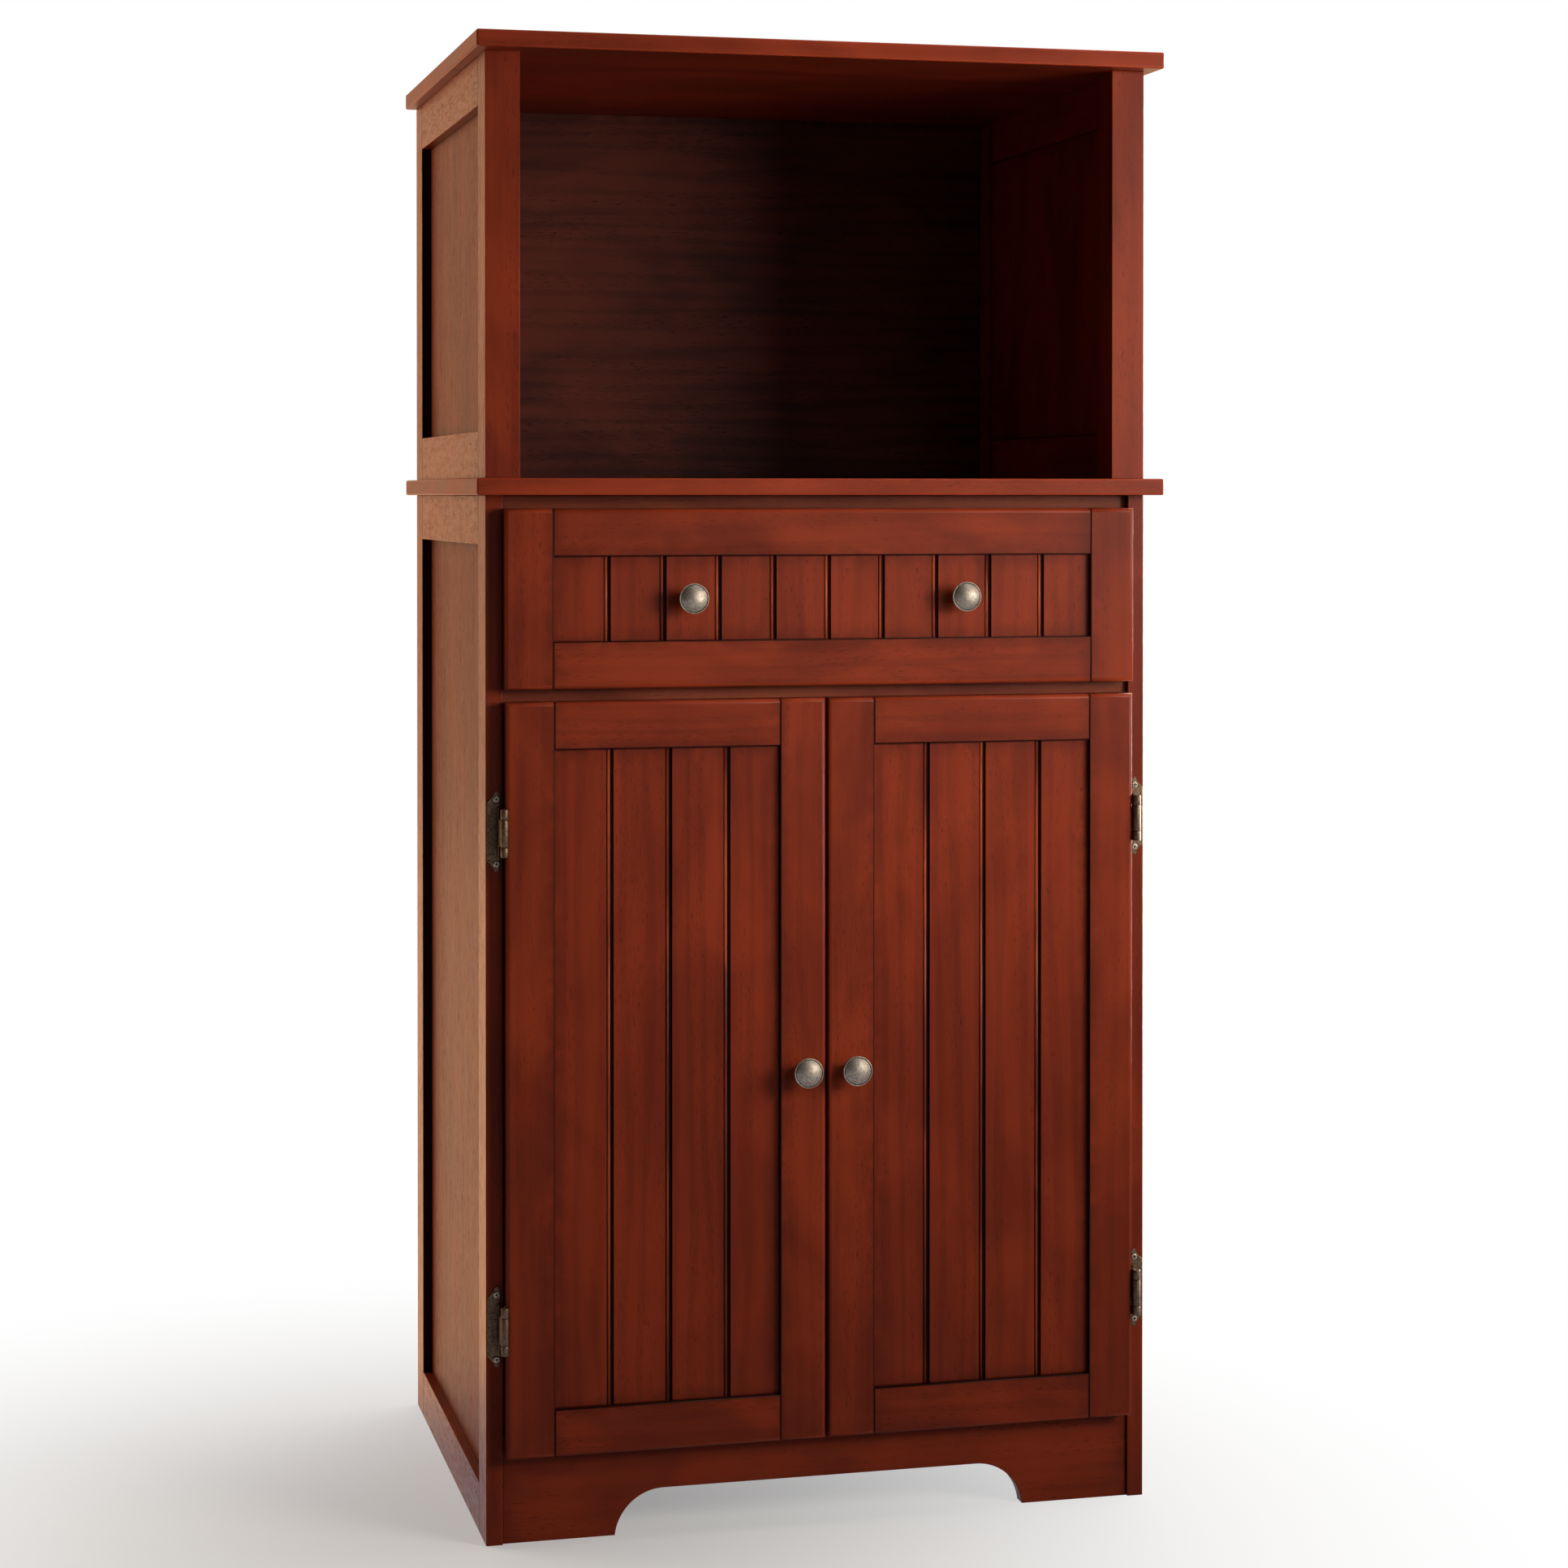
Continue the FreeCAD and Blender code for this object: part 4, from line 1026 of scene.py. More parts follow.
@dataclass
class SideFrame:
    """Side of the base or the hutch: two stiles, two rails and a thin recessed panel."""

    level: str
    hand: Hand
    finishes: Finishes
    panel_lap: float = 8.0 * MM
    back_lap: float = 7.5 * MM
    back_depth: float = 4.0 * MM
    easing: float = 0.6 * MM
    panel_easing: float = 0.1 * MM
    front_rub: float = 0.25
    rub: float = 0.2

    OUTWARDS = 0.9

    @property
    def stem(self) -> str:
        """Start of the names of this frame's nodes."""
        return f"{self.level}_{self.hand.side}"

    def build(self) -> None:
        """Build the frame's boards."""
        self.build_front_stile()
        self.build_rear_stile()
        self.build_rails()
        self.build_panel()

    def piece(self, part: str) -> Piece:
        """Start a piece that replaces one of the frame's nodes."""
        return carcass_board(f"{self.stem}_{part}", Slot.STAINED_WOOD, self.finishes.stain)

    def finish(self, piece: Piece, outer: bpy.types.Material) -> None:
        """Give the faces that look outwards their own, tanner finish with painted sheen, and finish
        the piece.

        Args:
            piece: The piece.
            outer: The finish of the faces that look outwards, lightened as painted sheen.
        """
        piece.materials.append(outer)
        piece.bm.normal_update()
        for face in piece.bm.faces:
            if face.normal.x * self.hand.value > self.OUTWARDS:
                face.material_index = 1
        piece.finish()

    def build_front_stile(self) -> None:
        """Build the front stile, whose front face shows beside the doors."""
        piece = self.piece("front_stile")
        piece.board(*corners(f"{self.stem}_front_stile"), Grain.UPRIGHT, self.easing, 3,
                    self.front_rub, "+z-z-y")
        self.finish(piece, self.finishes.side)

    def build_rear_stile(self) -> None:
        """Build the rear stile, rebated for the back panel."""
        piece = self.piece("rear_stile")
        low, high = corners(f"{self.stem}_rear_stile")
        sign = self.hand.value
        outer, inner = (high.x, low.x) if sign > 0 else (low.x, high.x)
        step = inner + sign * self.back_lap
        ledge = high.y - self.back_depth
        outline = [at(x, y, low.z) for x, y in (
            (outer, low.y), (inner, low.y), (inner, ledge), (step, ledge), (step, high.y),
            (outer, high.y))]
        before = set(piece.bm.verts)
        made = piece.prism(outline, at(0, 0, high.z - low.z))
        on_step = level_with(0, step)
        edges = piece.edges_of(made, lambda a, b: not on_step(a, b))
        piece.ease(edges, self.easing, 2, self.rub)
        piece.mark(before, Grain.UPRIGHT, *Piece.stain_area(low, high, "+z-z+y"), 0)
        self.finish(piece, self.finishes.side)

    def build_rails(self) -> None:
        """Build the top and bottom rails between the stiles."""
        piece = self.piece("rails")
        low, high = corners(f"{self.stem}_rails")
        panel_low, panel_high = corners(f"{self.stem}_panel")
        front = corners(f"{self.stem}_front_stile")[1].y
        rear = corners(f"{self.stem}_rear_stile")[0].y
        for bottom, top in ((low.z, panel_low.z + self.panel_lap),
                            (panel_high.z - self.panel_lap, high.z)):
            piece.board(at(low.x, front, bottom), at(high.x, rear, top), Grain.DEEP, self.easing,
                        2, self.rub, "-z+z")
        self.finish(piece, self.finishes.side)

    def build_panel(self) -> None:
        """Build the thin panel in the opening."""
        piece = self.piece("panel")
        low, high = corners(f"{self.stem}_panel")
        lap = at(0, self.panel_lap, self.panel_lap)
        piece.board(low + lap, high - lap, Grain.UPRIGHT, self.panel_easing, 1, 0.0)
        self.finish(piece, self.finishes.side_panel)


@dataclass
class Carcass:
    """Rails, apron, floor, shelf, back panels and the two boards on top."""

    finishes: Finishes
    easing: float = 0.6 * MM
    cord_hole: float = 25.0 * MM
    cord_hole_height: float = 90.0 * MM
    cord_hole_inset: float = 59.0 * MM
    cord_hole_steps: int = 48
    arch_radius: float = 44.5 * MM
    arch_height: float = 39.5 * MM
    arch_steps: int = 24
    foot: float = 101.0 * MM
    batten_share: float = 0.75
    rub: float = 0.2
    sheet_rub: float = 0.1
    apron_rub: float = 0.3

    SIDEWAYS = 0.5

    def build(self) -> None:
        """Build every board of the carcass."""
        for node in ("worktop", "top_board"):
            SlabTop(node, self.finishes).build()
        for level in ("base", "hutch"):
            for hand in Hand:
                SideFrame(level, hand, self.finishes).build()
        self.build_rail("top_rail", "-z")
        self.build_rail("mid_rail", "")
        self.build_apron()
        self.build_flat("cabinet_floor", Grain.ACROSS, self.finishes.inner, Slot.INNER_WOOD)
        self.build_flat("shelf", Grain.ACROSS, self.finishes.inner, Slot.INNER_WOOD)
        self.build_cleats()
        self.build_flat("base_back_panel", Grain.UPRIGHT, self.finishes.back, Slot.BACK_PANELS)
        self.build_hutch_back()

    def build_rail(self, node: str, free: str) -> None:
        """Build a rail between the sides.

        Args:
            node: The rail's node.
            free: Sides that stay clear of dark stain and painted shade.
        """
        # The rails take the shaded copy of the stain: painted shade.
        piece = carcass_board(node, Slot.STAINED_WOOD, self.finishes.rail)
        piece.board(*corners(node), Grain.ACROSS, self.easing, 2, self.rub, free)
        piece.finish()

    def build_flat(self, node: str, grain: Grain, material: bpy.types.Material,
                   slot: Slot) -> None:
        """Build a plain sheet or shelf.

        Args:
            node: The sheet's node.
            grain: Which way its fibres run.
            material: Its finish.
            slot: The record's name for the finish.
        """
        piece = carcass_board(node, slot, material)
        low, high = corners(node)
        thickness = (high - low)[Piece.thinnest(low, high)]
        piece.board(low, high, grain, min(self.easing, thickness / 5), 2, self.sheet_rub)
        piece.finish()

    def build_cleats(self) -> None:
        """Build the two battens under the shelf."""
        low, high = corners("shelf_cleats")
        piece = Piece("shelf_cleats_battens", Body.CARCASS, Slot.INNER_WOOD,
                      [self.finishes.inner], ["shelf_cleats"])
        thick = (high.z - low.z) * self.batten_share
        piece.board(low, at(low.x + thick, high.y, high.z), Grain.DEEP, self.easing)
        piece.board(at(high.x - thick, low.y, low.z), high, Grain.DEEP, self.easing)
        piece.finish()

    def build_apron(self) -> None:
        """Build the apron with its two feet and the flat arch between them."""
        piece = carcass_board("apron", Slot.STAINED_WOOD, self.finishes.stain)
        low, high = corners("apron")
        arc = self.arch(low)
        other = [at(-point.x, point.y, point.z) for point in reversed(arc)]
        outline = [at(low.x, low.y, 0), *arc, *other, at(high.x, low.y, 0),
                   at(high.x, low.y, high.z), at(low.x, low.y, high.z)]
        before = set(piece.bm.verts)
        made = piece.prism(outline, at(0, high.y - low.y, 0))
        piece.ease(piece.edges_of(made, level_with(1, low.y)), self.easing, 2, self.apron_rub)
        piece.mark(before, Grain.ACROSS, *Piece.stain_area(low, high, "-z+z"), 1)
        piece.bm.normal_update()
        for face in piece.bm.faces:
            low_enough = face.calc_center_median().z < self.arch_height + TOUCH
            if low_enough and abs(face.normal.y) < self.SIDEWAYS:
                face.smooth = True
        piece.finish()

    def arch(self, low: Vector) -> list[Vector]:
        """Draw the left end of the arch.

        Args:
            low: Lowest corner of the apron.

        Returns:
            The points from the foot up to the arch's flat top.
        """
        centre_z = self.arch_height - self.arch_radius
        spread = math.sqrt(self.arch_radius ** 2 - centre_z ** 2)
        centre_x = low.x + self.foot + spread
        start = math.atan2(-centre_z, -spread)
        arc = []
        for step in range(self.arch_steps + 1):
            turn = start + (math.pi / 2 - start) * step / self.arch_steps
            arc.append(at(centre_x + self.arch_radius * math.cos(turn), low.y,
                          centre_z + self.arch_radius * math.sin(turn)))
        arc[0].z = 0.0
        return arc

    def build_hutch_back(self) -> None:
        """Build the hutch's back panel with the round hole for a power cord."""
        piece = carcass_board("hutch_back_panel", Slot.BACK_PANELS, self.finishes.back)
        low, high = corners("hutch_back_panel")
        before = set(piece.bm.verts)
        hole = at(low.x + self.cord_hole_inset, low.y, low.z + self.cord_hole_height)
        turn = Matrix.Translation(hole) @ Matrix.Rotation(math.pi / 2, 4, "X")
        ring = bmesh.ops.create_circle(piece.bm, cap_ends=False, radius=self.cord_hole,
                                       segments=self.cord_hole_steps, matrix=turn)["verts"]
        sheet = [piece.bm.verts.new(at(x, low.y, z)) for x, z in
                 ((low.x, low.z), (high.x, low.z), (high.x, high.z), (low.x, high.z))]
        rim = [piece.bm.edges.new(pair) for pair in zip(sheet, sheet[1:] + sheet[:1])]
        bmesh.ops.triangle_fill(piece.bm, use_beauty=True, edges=rim + piece.edges_of(ring),
                                normal=at(0, -1, 0))
        inside = [face for face in piece.bm.faces
                  if all((vert.co - hole).length < self.cord_hole + TOUCH for vert in face.verts)]
        bmesh.ops.delete(piece.bm, geom=inside, context="FACES")
        pushed = bmesh.ops.extrude_face_region(piece.bm, geom=piece.bm.faces[:])["geom"]
        bmesh.ops.translate(piece.bm, vec=at(0, high.y - low.y, 0), verts=verts_in(pushed))
        bmesh.ops.recalc_face_normals(piece.bm, faces=piece.bm.faces[:])
        piece.mark(before, Grain.ACROSS, *Piece.stain_area(low, high, ""), 1)
        piece.finish()


# ---------------------------------------------------------------- beaded fronts
@dataclass
class BeadedFront:
    """Door or drawer front: two stiles, two rails and a panel of beaded planks."""

    stem: str
    body: Body
    finishes: Finishes
    left_stile: str
    right_stile: str
    planks: int
    pitch: float
    frame_width: float = 42.0 * MM
    recess: float = 5.5 * MM
    panel_thickness: float = 7.0 * MM
    edge: float = 4.0 * MM
    edge_steps: int = 7
    # The rounded front edges are lightened: worn stain and painted highlight.
    edge_rub: float = 0.35
    joint_easing: float = 0.6 * MM
    bead_width: float = 2.4 * MM
    quirk_width: float = 0.9 * MM
    quirk_depth: float = 0.9 * MM
    bead_edge_depth: float = 0.45 * MM
    groove_width: float = 3.1 * MM
    groove_depth: float = 3.0 * MM
    groove_slope: float = 0.25 * MM
    groove_arris: float = 0.25 * MM
    bead_steps: int = 8

    CUT = 1e-7
    STAIN, GROOVE, BEAD = 0, 1, 2

    def __post_init__(self) -> None:
        """Read the outer box from the two stiles."""
        self.low = corners(f"{self.stem}_{self.left_stile}")[0]
        self.high = corners(f"{self.stem}_{self.right_stile}")[1]
        self.inner_x = (self.low.x + self.frame_width, self.high.x - self.frame_width)
        self.inner_z = (self.low.z + self.frame_width, self.high.z - self.frame_width)

    def build(self) -> None:
        """Build the five boards."""
        self.build_stile(self.left_stile, Hand.LEFT, self.inner_x[0])
        self.build_stile(self.right_stile, Hand.RIGHT, self.inner_x[1])
        self.build_rails()
        self.build_panel()

    def slab(self, piece: Piece) -> None:
        """Add the blank of the whole front, with its rounded edge."""
        rim = piece.edges_of(piece.block(self.low, self.high), level_with(1, self.low.y))
        piece.ease(rim, self.edge, self.edge_steps, self.edge_rub)

    def trim(self, piece: Piece, plane: Vector, outward: Vector) -> None:
        """Cut away what lies beyond a plane, and close the cut.

        Args:
            piece: The piece that is cut.
            plane: A point of the plane.
            outward: The side that is cut away.
        """
        whole = piece.bm.verts[:] + piece.bm.edges[:] + piece.bm.faces[:]
        cut = bmesh.ops.bisect_plane(piece.bm, geom=whole, dist=self.CUT, plane_co=plane,
                                     plane_no=outward, clear_outer=True)
        edges = [item for item in cut["geom_cut"] if isinstance(item, bmesh.types.BMEdge)]
        bmesh.ops.contextual_create(piece.bm, geom=edges)

    def ease_cuts(self, piece: Piece, *tests: EdgeTest) -> None:
        """Ease the front edges of the cuts.

        Args:
            piece: The piece that was cut.
            *tests: One for each cut, which finds its edges.
        """
        limit = self.low.y + self.edge + TOUCH
        chosen = []
        for test in tests:
            chosen += piece.edges_of(piece.bm.verts, lambda a, b: test(a, b)
                                     and a.y < limit and b.y < limit)
        piece.ease(list(dict.fromkeys(chosen)), self.joint_easing, 2)

    def build_stile(self, part: str, hand: Hand, joint: float) -> None:
        """Build one upright of the frame.

        Args:
            part: The stile's part of its node's name.
            hand: The side that it stands on.
            joint: X of its inner edge.
        """
        node = f"{self.stem}_{part}"
        piece = Piece(node + "_board", self.body, Slot.STAINED_WOOD, [self.finishes.stain], [node])
        before = set(piece.bm.verts)
        self.slab(piece)
        self.trim(piece, at(joint, 0, 0), at(-hand.value, 0, 0))
        self.ease_cuts(piece, level_with(0, joint))
        if hand is Hand.LEFT:
            low, high, free = self.low, at(joint, self.high.y, self.high.z), "+z-z-x"
        else:
            low, high, free = at(joint, self.low.y, self.low.z), self.high, "+z-z+x"
        piece.mark(before, Grain.UPRIGHT, *Piece.stain_area(low, high, free), 1)
        piece.finish()

    def build_rails(self) -> None:
        """Build the top and bottom of the frame, between the stiles."""
        node = f"{self.stem}_rails"
        piece = Piece(node + "_boards", self.body, Slot.STAINED_WOOD, [self.finishes.stain], [node])
        for bottom, top in ((self.low.z, self.inner_z[0]), (self.inner_z[1], self.high.z)):
            self.build_rail(piece, bottom, top)
        piece.finish()

    def build_rail(self, piece: Piece, bottom: float, top: float) -> None:
        """Build one rail in a mesh of its own, and add it to the piece.

        Args:
            piece: The piece that holds both rails.
            bottom: Z of the rail's lower edge.
            top: Z of its upper edge.
        """
        single = Piece(piece.name + f"_{bottom:.3f}", self.body, piece.slot, piece.materials)
        before = set(single.bm.verts)
        self.slab(single)
        left, right = self.inner_x
        self.trim(single, at(left, 0, 0), at(-1, 0, 0))
        self.trim(single, at(right, 0, 0), at(1, 0, 0))
        inner, outward, free = (top, 1, "-z") if bottom == self.low.z else (bottom, -1, "+z")
        self.trim(single, at(0, 0, inner), at(0, 0, outward))
        self.ease_cuts(single, level_with(0, left), level_with(0, right), level_with(2, inner))
        area = Piece.stain_area(at(left, self.low.y, bottom), at(right, self.high.y, top), free)
        single.mark(before, Grain.ACROSS, *area, 1)
        spare = bpy.data.meshes.new("spare")
        single.bm.to_mesh(spare)
        single.bm.free()
        piece.bm.from_mesh(spare)
        bpy.data.meshes.remove(spare)

    def groove_profile(self, middle: float, face: float) -> list[tuple[Vector, int]]:
        """Draw a quirk, a bead and a groove.

        Args:
            middle: X of the middle of the bead.
            face: Y of the panel's face.

        Returns:
            The points from left to right, each with the stain of the strip after it.
        """
        half = self.bead_width / 2
        quirk = middle - half - self.quirk_width
        points = [(at(quirk, face, 0), self.GROOVE),
                  (at(middle - half - self.quirk_width / 2, face + self.quirk_depth, 0),
                   self.GROOVE)]
        drop = self.bead_edge_depth
        radius = (half ** 2 + drop ** 2) / (2 * drop)
        for step in range(self.bead_steps + 1):
            across = -half + self.bead_width * step / self.bead_steps
            y = face + radius - math.sqrt(radius ** 2 - across ** 2)
            stain = self.BEAD if step < self.bead_steps else self.GROOVE
            points.append((at(middle + across, y, 0), stain))
        end = middle + half + self.groove_width
        floor = face + self.groove_depth
        points += [(at(middle + half + self.groove_slope, floor, 0), self.GROOVE),
                   (at(end - self.groove_slope, floor, 0), self.GROOVE),
                   (at(end, face + self.groove_arris, 0), self.STAIN),
                   (at(end + self.groove_arris, face, 0), self.STAIN)]
        return points

    def panel_line(self, face: float) -> list[tuple[Vector, int]]:
        """Draw the panel's front across all its planks.

        Args:
            face: Y of the panel's face.

        Returns:
            The points from left to right, each with the stain of the strip after it.
        """
        left, right = self.inner_x
        middle = (left + right) / 2
        points = [(at(left, face, 0), self.STAIN)]
        for number in range(1, self.planks):
            points += self.groove_profile(middle + (number - self.planks / 2) * self.pitch, face)
        points.append((at(right, face, 0), self.STAIN))
        for point, _ in points:
            point.z = self.inner_z[0]
        return points

    def build_panel(self) -> None:
        """Build the panel of planks marked by beads and grooves."""
        node = f"{self.stem}_panel"
        piece = Piece(node + "_planks", self.body, Slot.STAINED_WOOD,
                      [self.finishes.panel, self.finishes.groove, self.finishes.bead], [node])
        face = self.low.y + self.recess
        back = face + self.panel_thickness
        left, right = self.inner_x
        bottom, top = self.inner_z
        points = self.panel_line(face)
        before = set(piece.bm.verts)
        line = [piece.bm.verts.new(point) for point, _ in points]
        edges = [piece.bm.edges.new(pair) for pair in zip(line, line[1:])]
        pushed = bmesh.ops.extrude_edge_only(piece.bm, edges=edges)["geom"]
        bmesh.ops.translate(piece.bm, vec=at(0, 0, top - bottom), verts=verts_in(pushed))
        # Grooves take the dark groove finish (glaze and painted shade), beads the lighter bead
        # finish (wear and painted highlight).
        for strip in piece.bm.faces:
            centre = strip.calc_center_median().x
            strip.material_index = [stain for point, stain in points if point.x < centre][-1]
            strip.smooth = strip.material_index == self.BEAD
        rear = [piece.bm.verts.new(at(x, back, z)) for x, z in
                ((left, bottom), (right, bottom), (right, top), (left, top))]
        piece.bm.faces.new(rear)
        lower, upper = (
            sorted((vert for vert in piece.bm.verts
                    if vert not in rear and abs(vert.co.z - level) < TOUCH),
                   key=lambda vert: vert.co.x)
            for level in (bottom, top))
        piece.bm.faces.new(lower + [rear[1], rear[0]])
        piece.bm.faces.new(upper + [rear[2], rear[3]])
        piece.bm.faces.new([lower[0], upper[0], rear[3], rear[0]])
        piece.bm.faces.new([lower[-1], upper[-1], rear[2], rear[1]])
        bmesh.ops.recalc_face_normals(piece.bm, faces=piece.bm.faces[:])
        piece.mark(before, Grain.UPRIGHT, at(left, face, bottom), at(right, back, top), 1)
        piece.finish()


# ---------------------------------------------------------------- knobs and screws
@dataclass
class Knobs:
    """Round knobs with a neck, a rim, a fine step and a domed cap."""

    node: str
    body: Body
    finishes: Finishes
    middles: Sequence[float]
    steps: int = 72

    # radius and height of the outline, in millimetres
    FOOT = ((0.0, 0.0), (7.2, 0.0), (7.2, 0.7), (6.6, 1.4), (6.0, 2.6), (5.7, 5.0), (5.7, 9.0),
            (6.2, 12.0), (7.4, 14.4), (9.4, 16.6), (11.6, 18.2), (12.9, 19.1), (13.4, 19.7),
            (13.5, 20.4), (13.35, 21.0), (12.95, 21.4), (12.5, 21.4), (12.2, 20.4), (11.9, 20.4))
    CAP_RADIUS = 11.9
    CAP_START = 21.2
    CROWN = 26.0
    CAP_STEPS = 14
    STEP_REACH = (11.95 * MM, 12.45 * MM)
    STEP_HEIGHT = (20.3 * MM, 21.3 * MM)

    def profile(self) -> list[tuple[float, float]]:
        """Draw the knob's outline.

        Returns:
            Radius and height of each point from foot to crown, in metres.
        """
        outline = list(self.FOOT)
        rise = self.CROWN - self.CAP_START
        ball = (self.CAP_RADIUS ** 2 + rise ** 2) / (2 * rise)
        for step in range(self.CAP_STEPS):
            reach = self.CAP_RADIUS * math.cos(math.pi / 2 * step / self.CAP_STEPS)
            outline.append((reach, self.CROWN - ball + math.sqrt(ball ** 2 - reach ** 2)))
        outline.append((0.0, self.CROWN))
        return [(radius * MM, height * MM) for radius, height in outline]

    def build(self) -> None:
        """Build the knobs, standing on the face behind them."""
        low, high = corners(self.node)
        piece = Piece(self.node + "_turned", self.body, Slot.KNOBS,
                      [self.finishes.knob, self.finishes.knob_step], [self.node])
        height = (low.z + high.z) / 2
        for middle in self.middles:
            foot = at(middle, high.y, height)
            piece.turned(self.profile(), foot, at(0, -1, 0), self.steps)
            self.darken_step(piece, foot)
        piece.finish()

    def darken_step(self, piece: Piece, foot: Vector) -> None:
        """Give the fine step between rim and cap the dark patina that gathers in it.

        Args:
            piece: The piece that holds the knobs.
            foot: Where the knob stands.
        """
        inside, outside = self.STEP_REACH
        floor, rim = self.STEP_HEIGHT
        for face in piece.bm.faces:
            place = face.calc_center_median() - foot
            if inside < math.hypot(place.x, place.z) < outside and floor < -place.y < rim:
                face.material_index = 1


@dataclass
class Screws:
    """Pan-head screws with a cross recess."""

    name: str
    node: str
    body: Body
    finishes: Finishes
    seats: Sequence[Vector]
    outward: Vector
    head: float = 3.0 * MM
    rise: float = 1.7 * MM
    shank: float = 1.6 * MM
    length: float = 14.0 * MM
    steps: int = 32

    DOME = ((1.0, 0.38), (0.93, 0.66), (0.84, 0.84), (0.70, 0.96))
    TIP_RADIUS = 0.4
    TIP_START = 0.75
    CROSS_FLOOR = 0.35
    CROSS_WIDTH = 0.17
    CROSS_REACH = 0.92
    CROSS_TAPER = 0.75
    LEAST_TURN = 20
    FREE_TURN = 50
    SAME_HEIGHT = 1e-7

    def build(self) -> None:
        """Build the screws with their heads on their seats."""
        piece = Piece(self.name, self.body, Slot.HINGE_SCREWS,
                      [self.finishes.screw, self.finishes.recess], [self.node])
        for seat in self.seats:
            self.build_screw(piece, seat)
        piece.finish()

    def build_screw(self, piece: Piece, seat: Vector) -> None:
        """Build one screw: its head, the cross sunk in it and its shank.

        Args:
            piece: The piece that holds the screws.
            seat: Where the head stands.
        """
        head, rise = self.head, self.rise
        shank = [(0.0, -self.length), (self.shank * self.TIP_RADIUS, -self.length + self.shank),
                 (self.shank, -self.length * self.TIP_START), (self.shank, 0.0), (head, 0.0)]
        dome = [(head * reach, rise * height) for reach, height in self.DOME]
        piece.turned(shank + dome, seat, self.outward, self.steps)
        arm, top = dome[-1]
        self.build_cross(piece, seat, arm, top)
        near = [face for face in piece.bm.faces
                if (face.calc_center_median() - seat).length < self.length + self.head]
        bmesh.ops.recalc_face_normals(piece.bm, faces=near)

    def build_cross(self, piece: Piece, seat: Vector, arm: float, top: float) -> None:
        """Close the head with a flat crown that has a cross sunk in it.

        Args:
            piece: The piece that holds the screws.
            seat: Where the head stands.
            arm: Radius of the open ring that is closed.
            top: Height of the ring above the seat.
        """
        ring = [vert for vert in piece.bm.verts
                if abs((vert.co - seat).dot(self.outward) - top) < self.SAME_HEIGHT
                and abs((vert.co - seat).cross(self.outward).length - arm) < DOUBLE]
        loop = piece.edges_of(ring)
        floor, half = self.rise * self.CROSS_FLOOR, self.head * self.CROSS_WIDTH
        turn = math.radians(self.LEAST_TURN + self.FREE_TURN * piece.chance.random())
        first = self.outward.orthogonal().normalized()
        second = self.outward.cross(first)
        cross = []
        for across, along in self.cross_outline(arm * self.CROSS_REACH, half):
            x = across * math.cos(turn) - along * math.sin(turn)
            y = across * math.sin(turn) + along * math.cos(turn)
            cross.append(piece.bm.verts.new(seat + self.outward * top + first * x + second * y))
        edges = [piece.bm.edges.new(pair) for pair in zip(cross, cross[1:] + cross[:1])]
        bmesh.ops.triangle_fill(piece.bm, use_beauty=True, edges=loop + edges, normal=self.outward)
        inside = [face for face in piece.bm.faces if all(vert in cross for vert in face.verts)]
        bmesh.ops.delete(piece.bm, geom=inside, context="FACES_ONLY")
        pushed = bmesh.ops.extrude_edge_only(piece.bm, edges=edges)["geom"]
        sunk = verts_in(pushed)
        bmesh.ops.translate(piece.bm, vec=self.outward * (floor - top), verts=sunk)
        bmesh.ops.scale(piece.bm, vec=(self.CROSS_TAPER,) * 3, verts=sunk,
                        space=Matrix.Translation(-(seat + self.outward * floor)))
        walls = [item for item in pushed if isinstance(item, bmesh.types.BMFace)]
        base = bmesh.ops.contextual_create(piece.bm, geom=piece.edges_of(sunk))["faces"]
        # The cross's walls and floor take the near-black recess finish: painted shade.
        for face in walls + base:
            face.material_index = 1

    @staticmethod
    def cross_outline(reach: float, half: float) -> list[tuple[float, float]]:
        """Draw a cross.

        Args:
            reach: From its middle to the end of an arm.
            half: Half the width of its arms.

        Returns:
            Its twelve corners, in order.
        """
        quarter = [(reach, half), (half, half), (half, reach)]
        left = [(-across, along) for across, along in reversed(quarter)]
        return quarter + left + [(-across, -along) for across, along in quarter + left]


